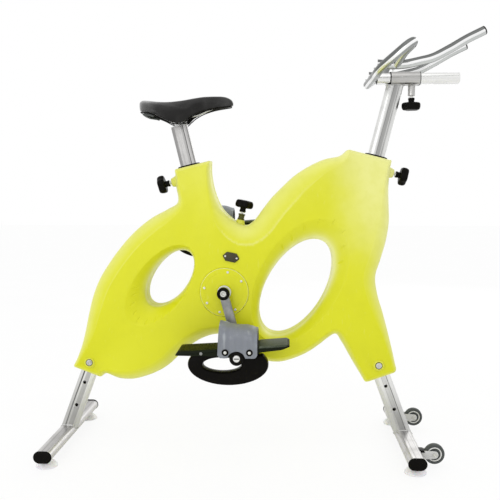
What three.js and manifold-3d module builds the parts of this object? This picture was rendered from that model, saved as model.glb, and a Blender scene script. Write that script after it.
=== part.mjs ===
// Aqua bike: a pool exercise bike with a hollow rotomoulded body on two stainless steel legs.
// Millimetres, +X forward, +Y to the rider's left, +Z up. The origin is on the floor, under the middle of
// the bike's outer box. Shapes are worked out about the crank axis, and the group is then moved there.
import * as THREE from 'three';
import { mergeVertices } from 'three/addons/utils/BufferGeometryUtils.js';
import Module from 'manifold-3d';

const wasm = await Module();
wasm.setup();

// Driving dimensions

const CRANK_HEIGHT = 480;          // crank axis above the floor
const BODY_SPAN = 1000;            // grid that the body's places are shares of
const BODY_HALF = 75;              // half thickness of the body at the crank
const WALL = 6;                    // rotomoulded wall
const FIT_GAP = 0.35;              // gap between pieces that touch
const SLIDE_GAP = 0.5;             // gap round a tube that slides
const CUT_OVERRUN = 5;             // how far a cut runs past its wall

const OVAL_WIDTH = 50;             // flat oval stainless tube
const OVAL_DEPTH = 30;
const OVAL_WALL = 2;
const POCKET_WALL = 5;             // moulded sleeve round each oval tube

const SEAT_LEAN = 13.8;            // degrees back from upright
const BAR_LEAN = 14.3;             // degrees forward from upright
const LEG_LEAN = 20.4;             // degrees outward from upright
const SEAT_POST_SHOWN = 122;       // post above its tower
const SEAT_POST_SUNK = 215;        // post inside the body
const SEAT_POCKET = 120;
const BAR_POST_SHOWN = 215;
const BAR_POST_SUNK = 190;
const BAR_POCKET = 140;
const POST_TRAVEL = 95;            // room below each post for its slide
const LEG_SUNK = 85;               // leg above its bolt
const LEG_POCKET = 100;
const LEG_HOLE_PITCH = 76;         // height steps
const LEG_HOLE_RADIUS = 4.5;
const LEG_BOLT_RADIUS = 4;
const LEG_BOLT_HEAD_RADIUS = 10;
const LEG_BOLT_HEAD = 5;
const LEG_HOLES = 3;
const LEG_BOSS = 53;               // face of the boss that a leg bolt lies on, from the middle
const LEG_BOSS_RADIUS = 14;

const COLLAR_THICK = 8;            // black collar on top of each tower
const COLLAR_SPREAD = 9;           // how far it lies round the post
const TENSION_COLLAR = 18;
const TENSION_COLLAR_RADIUS = 10;

const CRANK_LENGTH = 170;
const CRANK_ANGLE = 15.5;          // degrees forward of straight down
const CRANK_WIDTH = 26;
const CRANK_THICK = 13;
const CRANK_INNER = 94;            // inner face of the crank from the middle
const CRANK_CAP_RADIUS = 18.5;
const CRANK_CAP_THICK = 7;
const AXLE_RADIUS = 8.5;
const BEARING_RADIUS = 17.5;
const BEARING_WIDTH = 10;
const HOUSING_WALL = 3;
const HOUSING_FLANGE = 4.5;
const COVER_RADIUS = 71;
const COVER_THICK = 5;
const COVER_SEAT = 4;              // depth of the recess that the cover lies in
const COVER_LAND = 11;             // ring of body wall under the cover's edge
const DRUM_RADIUS = 46;
const DRUM_WIDTH = 26;
const PAD_THICK = 12;
const PAD_GAP = 4;                 // released gap between pad and drum
const PAD_HALF_ANGLE = 30;         // degrees of drum that the pad covers each side
const ROD_RADIUS = 4;

const PEDAL_MIDDLE = 165;          // pedal centre from the bike's middle
const PEDAL_WIDTH = 95;
const SPINDLE_RADIUS = 7;
const BARREL_RADIUS = 20;
const BARREL_END = 8;              // closed end of the barrel
const BARREL_CORE_RADIUS = 11;     // sleeve round the spindle, half let into the plate
const PLATE_LENGTH = 316;
const PLATE_HEIGHT = 36;           // from its underside to its raised toe
const PLATE_RISE = 4;              // underside of the plate above the pedal axis
const RING_LENGTH = 228;           // keel ring under the plate
const RING_DEPTH = 118;
const RING_THICK = 34;
const RING_HOLE_LENGTH = 108;
const RING_HOLE_DEPTH = 40;
const RING_BACK = -27;             // ring centre from the pedal axis
const RING_DROP = -27;
const RING_HOLE_BACK = -44;
const STRAP_LENGTH = 106;
const STRAP_RISE = 94;             // crest at the instep above the pedal axis
const STRAP_WALL = 4;
const STRAP_DROP = 3;
const STRAP_FORWARD = 4;           // strap centre in front of the pedal axis
const STRAP_SPRING_SHARE = 0.42;   // share of the rise that is arched
const STRAP_MIDDLE_SHARE = 0.93;
const STRAP_TOE_SHARE = 0.83;

const KNOB_RADIUS = 26;
const KNOB_THICK = 20;
const KNOB_HUB_RADIUS = 10;
const KNOB_HUB = 13;
const KNOB_LOBES = 5;
const KNOB_LOBE_SHARE = 0.13;      // how deep the dips between lobes are
const KNOB_BEVEL = 4;
const KNOB_STUD_RADIUS = 4;
const CLAMP_DROP = 34;             // clamp screw below the top of its tower
const CLAMP_BOSS_REACH = 63;       // end of the boss from the post's axis
const CLAMP_BOSS_RADIUS = 12;
const CLAMP_NECK = 6;              // stud that shows between boss and knob

const SADDLE_LENGTH = 271;
const SADDLE_WIDTH = 156;
const SADDLE_REAR = 110;           // rear of the saddle behind the post's top
const SADDLE_BASE_THICK = 3;
const SADDLE_PADDING = 20;
const RAIL_RADIUS = 3.5;
const RAIL_SPACING = 44;
const RAIL_ABOVE_HEAD = 19;
const SEAT_HEAD_RADIUS = 13;       // round head that the saddle tilts on
const HEAD_PLATE = 3;
const HEAD_NECK = 12;
const HEAD_PLUG = 14;
const SADDLE_CLAMP_LENGTH = 52;
const SADDLE_CLAMP_HEIGHT = 26;    // from the head's centre up
const SADDLE_HEIGHT = 90;
const SADDLE_SQUARE_SHARE = 0.8;
const SADDLE_CROWN_SHARE = 0.62;
const SADDLE_HOLLOW_SHARE = 0.86;
const SADDLE_BASE_SHARE = 0.55;

const BAR_RADIUS = 12.5;           // round handlebar tube
const BAR_WALL = 2;
const HORN_SPREAD = 105;           // horns from the middle
const SLEEVE_LENGTH = 83;
const SLEEVE_WALL = 3.5;
const SLEEVE_FORWARD = 27;         // sleeve centre in front of the post's top
const SLIDE_LENGTH = 236;
const SLIDE_BEHIND = 39;           // slide tube that shows behind the sleeve
const STEM_RADIUS = 10.5;
const STEM_LENGTH = 31;
const STEM_FORWARD = 21;           // clamp stem in front of the sleeve's centre
const HORN_CAP = 4;
const HORN_LENGTH = 291;
const HORN_RISE = 88;
const LOOP_FORWARD = 84;           // grip loops: forward, up and out of the middle
const LOOP_RISE = 66;
const LOOP_SPREAD = 212;
const LOOP_JOINT_SHARE = 0.22;     // where a loop comes back to its horn

const STABILISER_LENGTH = 490;
const END_CAP = 5;
const FOOT_RADIUS = 30.5;
const FOOT_HEIGHT = 23;
const FOOT_INSET = 34;             // foot in from the stabiliser's end
const WHEEL_RADIUS = 28.5;
const WHEEL_WIDTH = 18;
const WHEEL_INSET = 80;            // wheel's middle in from the stabiliser's end
const WHEEL_FORWARD = 60;          // wheel axle in front of the front stabiliser
const WHEEL_LIFT = 11;             // wheel clear of the floor
const WHEEL_AXLE_RADIUS = 4;
const FORK_WALL = 3;
const FORK_GAP = 1.5;
const FORK_DEPTH = 13;
const FORK_EYE = 11;

// Places on the body, as shares of the body grid, from the crank axis: x, z

const seatCollarShares = [-0.1106, 0.3689];
const barCollarShares = [0.4446, 0.3955];
const rearBoltShares = [-0.411, -0.220];
const frontBoltShares = [0.456, -0.219];
const tensionShares = [0.043, 0.205];
const rimShare = 0.042;            // width of the rounded shoulder along the outline

// The outline, anticlockwise seen from the right: x share, z share, shoulder share, thickness share
const outlineShares = [
  [0.060, 0.203, 1.4, 1], [0.025, 0.209, 1.2, 1], [-0.010, 0.242, 0.7, 1],
  [-0.032, 0.290, 0.4, 0.84], [-0.042, 0.335, 0.3, 0.72], [-0.045, 0.3851, 0.25, 0.62],
  [-0.149, 0.3595, 0.25, 0.62], [-0.146, 0.310, 0.3, 0.76], [-0.141, 0.263, 0.5, 1],
  [-0.170, 0.243, 0.8, 1], [-0.215, 0.219, 1, 1], [-0.252, 0.192, 1, 1], [-0.288, 0.158, 1, 1],
  [-0.322, 0.118, 1, 1], [-0.353, 0.075, 1, 1], [-0.380, 0.030, 1, 1], [-0.400, -0.020, 1, 1],
  [-0.414, -0.075, 0.9, 1], [-0.425, -0.125, 0.8, 0.96], [-0.440, -0.175, 0.5, 0.76],
  [-0.466, -0.2375, 0.25, 0.54], [-0.382, -0.2687, 0.25, 0.54], [-0.364, -0.257, 0.4, 0.84],
  [-0.322, -0.270, 0.7, 1], [-0.280, -0.272, 0.8, 1], [-0.240, -0.262, 0.8, 1],
  [-0.200, -0.245, 0.8, 1], [-0.168, -0.224, 0.8, 1], [-0.145, -0.202, 0.8, 1],
  [-0.122, -0.181, 0.8, 1], [-0.096, -0.160, 0.8, 1], [-0.064, -0.142, 0.8, 1],
  [-0.030, -0.132, 0.7, 1], [0.004, -0.133, 0.6, 1], [0.036, -0.150, 0.5, 1],
  [0.064, -0.177, 0.5, 1], [0.092, -0.199, 0.5, 1], [0.125, -0.211, 0.5, 1],
  [0.165, -0.213, 0.5, 1], [0.205, -0.202, 0.5, 1], [0.245, -0.184, 0.5, 1],
  [0.280, -0.160, 0.5, 1], [0.306, -0.139, 0.5, 1], [0.328, -0.127, 0.45, 1],
  [0.346, -0.151, 0.45, 0.93], [0.376, -0.204, 0.35, 0.74], [0.419, -0.2758, 0.25, 0.54],
  [0.513, -0.241, 0.25, 0.54], [0.500, -0.185, 0.35, 0.7], [0.486, -0.130, 0.5, 0.84],
  [0.468, -0.065, 0.7, 0.95], [0.450, -0.005, 0.8, 1], [0.444, 0.045, 0.9, 1],
  [0.458, 0.095, 0.9, 1], [0.473, 0.150, 0.9, 1], [0.481, 0.205, 0.8, 1],
  [0.480, 0.255, 0.6, 0.95], [0.479, 0.310, 0.4, 0.82], [0.486, 0.385, 0.25, 0.62],
  [0.360, 0.417, 0.25, 0.62], [0.340, 0.400, 0.5, 0.8], [0.290, 0.388, 0.9, 0.95],
  [0.245, 0.367, 1.1, 1], [0.205, 0.341, 1.3, 1], [0.168, 0.307, 1.4, 1],
  [0.135, 0.273, 1.4, 1], [0.108, 0.238, 1.4, 1], [0.088, 0.214, 1.4, 1],
];
// First and last outline point of each limb: seat tower, rear leg sleeve, front leg, handlebar tower
const limbRanges = [[2, 8], [18, 22], [43, 51], [56, 60]];
// Shoulder section: share of the way in, and share of the thickness there
const shoulderShares = [[0, 0.42], [0.14, 0.7], [0.45, 0.9], [1, 1]];
const dishShares = [[0, 0.5], [0.18, 0.66], [0.55, 0.86], [1, 1]];
// The two windows: centre and half lengths, lean from +X, and how the dish round each grows and shifts
const windows = [
  {
    centreShares: [-0.167, 0.035], alongShare: 0.1, acrossShare: 0.053, lean: 52.3,
    growShares: [0.042, 0.021], shiftShares: [-0.028, 0.008], steps: 26,
  },
  {
    centreShares: [0.209, 0.010], alongShare: 0.16, acrossShare: 0.087, lean: 60,
    growShares: [0.038, 0.032], shiftShares: [0.026, 0.002], steps: 30,
  },
];

// A foot's profile: width and height, from the floor up
const footShares = [[0, 0], [1, 0], [1, 0.2], [0.8, 0.5], [0.525, 0.72], [0.525, 1], [0, 1]];

// A wheel's profile: share of its radius, and of its width from the middle
const treadShares = [[0, -0.5], [0.94, -0.5], [1, -0.3], [1, 0.3], [0.94, 0.5], [0, 0.5]];

// Worked out from the sizes above

const radians = THREE.MathUtils.degToRad;
const bodyPlace = ([x, z]) => new THREE.Vector2(x * BODY_SPAN, z * BODY_SPAN);
const rimReach = rimShare * BODY_SPAN;
const seatCollar = bodyPlace(seatCollarShares);
const barCollar = bodyPlace(barCollarShares);
const rearBolt = bodyPlace(rearBoltShares);
const frontBolt = bodyPlace(frontBoltShares);
const tensionFoot = bodyPlace(tensionShares);
const leaning = (degrees) => new THREE.Vector2(Math.sin(radians(degrees)), Math.cos(radians(degrees)));
const seatUp = leaning(-SEAT_LEAN);
const barUp = leaning(BAR_LEAN);
const rearUp = leaning(LEG_LEAN);
const frontUp = leaning(-LEG_LEAN);
const tensionUp = tensionFoot.clone().normalize();
const floorZ = -CRANK_HEIGHT;
const stabiliserZ = floorZ + FOOT_HEIGHT + OVAL_DEPTH / 2 + FIT_GAP;
const alongTo = (start, up, z) => start.clone().addScaledVector(up, (z - start.y) / up.y);
const rearAxle = alongTo(rearBolt, rearUp, stabiliserZ);
const frontAxle = alongTo(frontBolt, frontUp, stabiliserZ);
const pedalAxis = new THREE.Vector2(
  CRANK_LENGTH * Math.sin(radians(CRANK_ANGLE)), -CRANK_LENGTH * Math.cos(radians(CRANK_ANGLE)));
const seatTop = seatCollar.clone().addScaledVector(seatUp, SEAT_POST_SHOWN);
const barTop = barCollar.clone().addScaledVector(barUp, BAR_POST_SHOWN);

// Materials

const finish = (color, roughness, metalness) => new THREE.MeshStandardMaterial({ color, roughness, metalness });
const bodyPlastic = finish(0xdce12f, 0.45, 0);
const stainless = finish(0xc9cbcd, 0.25, 1);
const blackPlastic = finish(0x17181a, 0.5, 0);
const greyPlastic = finish(0x8d9196, 0.6, 0);
const whitePlastic = finish(0xf2f2ee, 0.5, 0);
const clearRubber = finish(0xe8e8e0, 0.4, 0);
const greyRubber = finish(0x77787a, 0.8, 0);
const oliveMetal = finish(0x4a4a28, 0.4, 0.6);
const blackLeather = finish(0x141416, 0.55, 0);
const crankPaint = finish(0x9a9ca0, 0.4, 0.6);

const bike = new THREE.Group();
const add = (name, geometry, material) => {
  const mesh = new THREE.Mesh(geometry, material);
  mesh.name = name;
  bike.add(mesh);
  return mesh;
};

const sides = [['right', -1], ['left', 1]];
// From a near to a far distance off the middle, on one side, in order along +Y
const spanOn = (side, near, far) => (side < 0 ? [-far, -near] : [near, far]);

// Solids: joining, cutting and placing

function toSolid(geometry) {
  const bare = geometry.clone();
  bare.deleteAttribute('normal');
  bare.deleteAttribute('uv');
  const merged = mergeVertices(bare);
  return new wasm.Manifold(new wasm.Mesh({
    numProp: 3,
    vertProperties: new Float32Array(merged.attributes.position.array),
    triVerts: new Uint32Array(merged.index.array),
  }));
}

function toGeometry(solid) {
  const mesh = solid.getMesh();
  const geometry = new THREE.BufferGeometry();
  geometry.setAttribute('position', new THREE.BufferAttribute(new Float32Array(mesh.vertProperties), 3));
  geometry.setIndex(new THREE.BufferAttribute(new Uint32Array(mesh.triVerts), 1));
  return geometry;
}

function combine(base, joined, cut) {
  let solid = toSolid(base);
  for (const geometry of joined) solid = solid.add(toSolid(geometry));
  for (const geometry of cut) solid = solid.subtract(toSolid(geometry));
  return toGeometry(solid);
}

// A flat oval outline in its own plane, wide along x
function ovalPoints(width, depth, steps = 5) {
  const radius = depth / 2;
  const half = width / 2 - radius;
  const points = [];
  for (const side of [1, -1]) {
    for (let i = 0; i <= steps; i += 1) {
      const angle = (side > 0 ? -0.5 : 0.5) * Math.PI + Math.PI * i / steps;
      points.push(new THREE.Vector2(side * half + radius * Math.cos(angle), radius * Math.sin(angle)));
    }
  }
  return points;
}

function circlePoints(radius, steps) {
  return Array.from({ length: steps }, (_, i) => {
    const angle = 2 * Math.PI * (i + 0.5) / steps;
    return new THREE.Vector2(radius * Math.cos(angle), radius * Math.sin(angle));
  });
}

// A prism of an outline, with holes, that starts at z = 0 and runs up its own z
function prism(points, length, holes = []) {
  const shape = new THREE.Shape(THREE.ShapeUtils.isClockWise(points) ? [...points].reverse() : points);
  shape.holes = holes.map((hole) => new THREE.Path(hole));
  return new THREE.ExtrudeGeometry(shape, { depth: length, bevelEnabled: false, steps: 1 });
}

// Turns a prism's own z to a direction in the side plane, its own y to +Y, and moves its start to a point
function leanTo(geometry, start, up, y = 0) {
  const matrix = new THREE.Matrix4().makeBasis(
    new THREE.Vector3(up.y, 0, -up.x), new THREE.Vector3(0, 1, 0), new THREE.Vector3(up.x, 0, up.y));
  matrix.setPosition(start.x, y, start.y);
  return geometry.applyMatrix4(matrix);
}

// Turns a prism's own z to +Y, with its own x to +X and its own y to -Z
function acrossAt(geometry, x, y, z) {
  const matrix = new THREE.Matrix4().makeBasis(
    new THREE.Vector3(1, 0, 0), new THREE.Vector3(0, 0, -1), new THREE.Vector3(0, 1, 0));
  matrix.setPosition(x, y, z);
  return geometry.applyMatrix4(matrix);
}

// An outline drawn with x along +X and y along +Z, extruded along +Y from the given y
function sidePlate(points, y, thick, holes = []) {
  const flip = (list) => list.map((p) => new THREE.Vector2(p.x, -p.y));
  return acrossAt(prism(flip(points), thick, holes.map(flip)), 0, y, 0);
}

const tubeAlong = (start, up, length, width = OVAL_WIDTH, depth = OVAL_DEPTH) =>
  leanTo(prism(ovalPoints(width, depth), length), start, up);

const roundAlong = (start, up, radius, length, y = 0, steps = 12) =>
  leanTo(prism(circlePoints(radius, steps), length), start, up, y);

const roundAcross = (x, z, radius, from, to, steps = 16) =>
  acrossAt(prism(circlePoints(radius, steps), to - from), x, from, z);

function ovalTube(start, up, length) {
  const inner = ovalPoints(OVAL_WIDTH - 2 * OVAL_WALL, OVAL_DEPTH - 2 * OVAL_WALL);
  return leanTo(prism(ovalPoints(OVAL_WIDTH, OVAL_DEPTH), length, [inner]), start, up);
}

// A tube with a round section swept through points, hollow when it has a wall
function sweep(path, radius, steps, wall = 0, sides = 10) {
  const shape = new THREE.Shape(circlePoints(radius, sides));
  if (wall > 0) shape.holes = [new THREE.Path(circlePoints(radius - wall, sides))];
  return new THREE.ExtrudeGeometry(shape, { steps, bevelEnabled: false, extrudePath: path });
}

const smooth = (points) => new THREE.CatmullRomCurve3(points, false, 'centripetal');

// Corners given as x and z, moved to a place in the side plane
const sideOutline = (corners, place = new THREE.Vector2()) =>
  corners.map(([x, z]) => new THREE.Vector2(place.x + x, place.y + z));

// Skins a stack of rings with as many points each, and closes both ends
function loft(rings) {
  const count = rings[0].length;
  const positions = rings.flat().flatMap((p) => [p.x, p.y, p.z]);
  const index = [];
  for (let r = 0; r + 1 < rings.length; r += 1) {
    for (let i = 0; i < count; i += 1) {
      const a = r * count + i;
      const b = r * count + (i + 1) % count;
      index.push(a, b, b + count, a, b + count, a + count);
    }
  }
  const flat = rings[0].map((p) => new THREE.Vector2(p.y, p.z));
  const last = (rings.length - 1) * count;
  for (const [a, b, c] of THREE.ShapeUtils.triangulateShape(flat, [])) {
    const turn = flat[b].clone().sub(flat[a]).cross(flat[c].clone().sub(flat[a]));
    const [p, q] = turn > 0 ? [b, c] : [c, b];
    index.push(a, q, p, last + a, last + p, last + q);
  }
  const geometry = new THREE.BufferGeometry();
  geometry.setAttribute('position', new THREE.Float32BufferAttribute(positions, 3));
  geometry.setIndex(index);
  return geometry;
}

// Body shell

// The outline moved in by its shoulder and a skin. Each point goes along the mean of its two edges' normals.
function outlineRow(way, skin) {
  const points = outlineShares.map(bodyPlace);
  const count = points.length;
  return points.map((point, i) => {
    const before = point.clone().sub(points[(i + count - 1) % count]).normalize();
    const after = points[(i + 1) % count].clone().sub(point).normalize();
    const mean = before.add(after);
    const miter = 2 / Math.max(mean.length(), 1);
    mean.normalize();
    const reach = way * rimReach * outlineShares[i][2] + skin * miter;
    return new THREE.Vector2(point.x - mean.y * reach, point.y + mean.x * reach);
  });
}

function windowRow(window, way, skin) {
  const centre = bodyPlace(window.centreShares);
  const along = new THREE.Vector2(Math.cos(radians(window.lean)), Math.sin(radians(window.lean)));
  const across = new THREE.Vector2(-along.y, along.x);
  const grow = bodyPlace(window.growShares).multiplyScalar(way);
  const shift = bodyPlace(window.shiftShares).multiplyScalar(way);
  const half = bodyPlace([window.alongShare, window.acrossShare]).add(grow).addScalar(skin);
  return Array.from({ length: window.steps }, (_, i) => {
    const angle = 2 * Math.PI * i / window.steps;
    const u = half.x * Math.cos(angle) + shift.x;
    const v = half.y * Math.sin(angle) + shift.y;
    return centre.clone().addScaledVector(along, u).addScaledVector(across, v);
  });
}

// Half thickness shares of every point of one row: outline first, then each window
function rowThickness(row, skin) {
  const shoulder = outlineShares.map(([, , band, thick]) =>
    thick * BODY_HALF * (1 - (1 - shoulderShares[row][1]) * Math.min(1, band)) - skin);
  const dish = windows.flatMap((window) =>
    Array.from({ length: window.steps }, () => BODY_HALF * dishShares[row][1] - skin));
  return [...shoulder, ...dish];
}

// The flat cheeks of one level: the limbs are closed by themselves, and the lobes with their windows
function cheekTriangles(points) {
  const count = outlineShares.length;
  const inLimb = new Set(limbRanges.flatMap(([from, to]) =>
    Array.from({ length: to - from - 1 }, (_, i) => from + 1 + i)));
  const lobes = Array.from({ length: count }, (_, i) => i).filter((i) => !inLimb.has(i));
  let first = count;
  const holes = windows.map((window) => {
    const hole = Array.from({ length: window.steps }, (_, i) => first + i);
    first += window.steps;
    return hole;
  });
  const limbs = limbRanges.map(([from, to]) => Array.from({ length: to - from + 1 }, (_, i) => from + i));
  const faces = [];
  const close = (contour, openings) => {
    const names = [contour, ...openings].flat();
    const pick = (list) => list.map((i) => points[i]);
    for (const face of THREE.ShapeUtils.triangulateShape(pick(contour), openings.map(pick))) {
      const [a, b, c] = face.map((i) => names[i]);
      const ab = points[b].clone().sub(points[a]);
      const ac = points[c].clone().sub(points[a]);
      faces.push(ab.cross(ac) > 0 ? [a, b, c] : [a, c, b]);
    }
  };
  close(lobes, holes);
  for (const limb of limbs) close(limb, []);
  return faces;
}

// The body's form as a closed solid: rows of points from one cheek over the rim to the other
function bodyForm(skin, rows) {
  const levels = [];
  for (const side of [-1, 1]) {
    for (const row of side < 0 ? [...rows].reverse() : rows) {
      const flat = [outlineRow(shoulderShares[row][0], skin),
        ...windows.map((window) => windowRow(window, dishShares[row][0], skin))].flat();
      const thickness = rowThickness(row, skin);
      levels.push(flat.map((p, i) => new THREE.Vector3(p.x, side * thickness[i], p.y)));
    }
  }
  const size = levels[0].length;
  const index = [];
  const strip = (first, count, outward) => {
    for (let level = 0; level + 1 < levels.length; level += 1) {
      for (let i = 0; i < count; i += 1) {
        const a = level * size + first + i;
        const b = level * size + first + (i + 1) % count;
        if (outward) index.push(a, a + size, b + size, a, b + size, b);
        else index.push(a, b + size, a + size, a, b, b + size);
      }
    }
  };
  strip(0, outlineShares.length, true);
  let first = outlineShares.length;
  for (const window of windows) {
    strip(first, window.steps, false);
    first += window.steps;
  }
  const last = (levels.length - 1) * size;
  const cheek = levels[0].map((p) => new THREE.Vector2(p.x, p.z));
  for (const [a, b, c] of cheekTriangles(cheek)) {
    index.push(a, b, c, last + a, last + c, last + b);
  }
  const geometry = new THREE.BufferGeometry();
  const positions = levels.flat().flatMap((p) => [p.x, p.y, p.z]);
  geometry.setAttribute('position', new THREE.Float32BufferAttribute(positions, 3));
  geometry.setIndex(index);
  return geometry;
}

// Each oval socket: where its tube enters, the way out, and the length of its moulded sleeve
const rearMouth = rearBolt.clone().addScaledVector(rearUp, -LEG_HOLE_PITCH / 2);
const frontMouth = frontBolt.clone().addScaledVector(frontUp, -LEG_HOLE_PITCH / 2);
const sockets = [
  { mouth: seatCollar, out: seatUp, deep: SEAT_POCKET, travel: SEAT_POST_SUNK + POST_TRAVEL },
  { mouth: barCollar, out: barUp, deep: BAR_POCKET, travel: BAR_POST_SUNK + POST_TRAVEL },
  { mouth: rearMouth, out: rearUp.clone().negate(), deep: LEG_POCKET, travel: LEG_SUNK + 3 * LEG_HOLE_PITCH },
  { mouth: frontMouth, out: frontUp.clone().negate(), deep: LEG_POCKET, travel: LEG_SUNK + 3 * LEG_HOLE_PITCH },
];
const socketPrism = ({ mouth, out }, deep, grow) => {
  const start = mouth.clone().addScaledVector(out, -deep);
  return tubeAlong(start, out, deep + rimReach, OVAL_WIDTH + 2 * grow, OVAL_DEPTH + 2 * grow);
};

// A clamp screw's line: from a post's axis out through the tower
const clampLine = (collar, up, side) => {
  const out = new THREE.Vector2(side * up.y, -side * up.x);
  return { foot: collar.clone().addScaledVector(up, -CLAMP_DROP), out };
};
const seatClamp = clampLine(seatCollar, seatUp, -1);
const barClamp = clampLine(barCollar, barUp, 1);
const tensionBossTop = tensionFoot.length() + CUT_OVERRUN;

function bodyShell() {
  let cavity = toSolid(bodyForm(WALL, [0, 3]));
  for (const socket of sockets) {
    cavity = cavity.subtract(toSolid(socketPrism(socket, socket.deep, POCKET_WALL + SLIDE_GAP)));
  }
  const bossStart = OVAL_DEPTH / 2 + POCKET_WALL;
  const screwBores = [];
  let shell = toSolid(bodyForm(0, [0, 1, 2, 3]));
  for (const { foot, out } of [seatClamp, barClamp]) {
    const start = foot.clone().addScaledVector(out, bossStart);
    const boss = roundAlong(start, out, CLAMP_BOSS_RADIUS, CLAMP_BOSS_REACH - bossStart, 0, 8);
    shell = shell.add(toSolid(boss));
    cavity = cavity.subtract(toSolid(boss));
    screwBores.push(roundAlong(foot, out, KNOB_STUD_RADIUS + SLIDE_GAP, CLAMP_BOSS_REACH + CUT_OVERRUN));
  }
  const tensionBoss = roundAlong(tensionUp.clone().multiplyScalar(tensionBossTop - 4 * CUT_OVERRUN), tensionUp,
    CLAMP_BOSS_RADIUS, 4 * CUT_OVERRUN, 0, 8);
  shell = shell.add(toSolid(tensionBoss));
  screwBores.push(roundAlong(tensionUp.clone().multiplyScalar(COVER_RADIUS), tensionUp,
    ROD_RADIUS + SLIDE_GAP, tensionFoot.length()));
  for (const bolt of [rearBolt, frontBolt]) {
    const boss = roundAcross(bolt.x, bolt.y, LEG_BOSS_RADIUS, -LEG_BOSS, LEG_BOSS);
    shell = shell.add(toSolid(boss));
    cavity = cavity.subtract(toSolid(boss));
  }
  shell = shell.subtract(cavity);
  for (const socket of sockets) shell = shell.subtract(toSolid(socketPrism(socket, socket.travel, SLIDE_GAP)));
  for (const bore of screwBores) shell = shell.subtract(toSolid(bore));
  for (const bolt of [rearBolt, frontBolt]) {
    const bore = roundAcross(bolt.x, bolt.y, LEG_BOLT_RADIUS + SLIDE_GAP, -BODY_HALF, 0, 10);
    shell = shell.subtract(toSolid(bore));
  }
  for (const side of [-1, 1]) {
    const [from, to] = spanOn(side, BODY_HALF - COVER_SEAT, BODY_HALF + CUT_OVERRUN);
    const recess = roundAcross(0, 0, COVER_RADIUS + FIT_GAP, from, to, 32);
    const [low, high] = spanOn(side, BODY_HALF - WALL - CUT_OVERRUN, BODY_HALF + CUT_OVERRUN);
    const opening = roundAcross(0, 0, COVER_RADIUS - COVER_LAND, low, high, 24);
    shell = shell.subtract(toSolid(recess)).subtract(toSolid(opening));
  }
  return toGeometry(shell);
}
add('body_shell', bodyShell(), bodyPlastic);

// Collars, covers and the crank's bearings

function collarPlate(name, socket, spread) {
  const outer = ovalPoints(OVAL_WIDTH + 2 * spread, OVAL_DEPTH + 2 * spread);
  const inner = ovalPoints(OVAL_WIDTH + 2 * SLIDE_GAP, OVAL_DEPTH + 2 * SLIDE_GAP);
  const start = socket.mouth.clone().addScaledVector(socket.out, FIT_GAP);
  add(name, leanTo(prism(outer, COLLAR_THICK, [inner]), start, socket.out), blackPlastic);
}
collarPlate('seat_collar_plate', sockets[0], COLLAR_SPREAD);
collarPlate('handlebar_collar_plate', sockets[1], COLLAR_SPREAD);

// A ring turned about the crank axis: radius and distance in from its outer face, on one side of the bike
function turnedRing(profile, side, face, steps = 24) {
  const loop = [...profile, profile[0]].map(([radius, depth]) => new THREE.Vector2(radius, depth));
  const ring = new THREE.LatheGeometry(loop, steps);
  if (side > 0) ring.rotateX(Math.PI);
  return ring.translate(0, side * face, 0);
}

const coverFace = BODY_HALF - COVER_SEAT + FIT_GAP + COVER_THICK;
const housingRadius = BEARING_RADIUS + HOUSING_WALL;
const housingFace = coverFace + FIT_GAP + HOUSING_FLANGE;
for (const [hand, side] of sides) {
  const cover = [[housingRadius + FIT_GAP, 0], [COVER_RADIUS, 0], [COVER_RADIUS, COVER_THICK],
    [housingRadius + FIT_GAP, COVER_THICK]];
  add(`cover_disc_${hand}`, turnedRing(cover, side, coverFace, 32), bodyPlastic);
  const lip = 2 * HOUSING_WALL + BEARING_WIDTH;
  const seat = BEARING_RADIUS + FIT_GAP;
  const stop = housingRadius - 2 * HOUSING_WALL;
  const rim = housingRadius + HOUSING_WALL;
  const housing = [[stop, lip], [stop, lip - HOUSING_WALL], [seat, lip - HOUSING_WALL], [seat, 0],
    [rim, 0], [rim, HOUSING_FLANGE], [housingRadius, HOUSING_FLANGE], [housingRadius, lip]];
  add(`bearing_housing_${hand}`, turnedRing(housing, side, housingFace), whitePlastic);
  const inset = lip - HOUSING_WALL - BEARING_WIDTH - FIT_GAP;
  const bore = AXLE_RADIUS + FIT_GAP;
  const bearing = [[bore, inset], [BEARING_RADIUS, inset], [BEARING_RADIUS, inset + BEARING_WIDTH],
    [bore, inset + BEARING_WIDTH]];
  add(`bearing_${hand}`, turnedRing(bearing, side, housingFace), stainless);
}

// Leg bolts, whose tips end at the face of the leg that they hold
function legBolt(name, place) {
  const face = -LEG_BOSS - FIT_GAP;
  const head = roundAcross(place.x, place.y, LEG_BOLT_HEAD_RADIUS, face - LEG_BOLT_HEAD, face);
  const tip = -OVAL_DEPTH / 2 - FIT_GAP;
  const shank = roundAcross(place.x, place.y, LEG_BOLT_RADIUS, face - LEG_BOLT_HEAD / 2, tip, 10);
  add(name, combine(shank, [head], []), stainless);
}
legBolt('rear_leg_bolt', rearBolt);
legBolt('front_leg_bolt', frontBolt);

// Crank axle with its brake drum, and the two cranks

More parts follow.
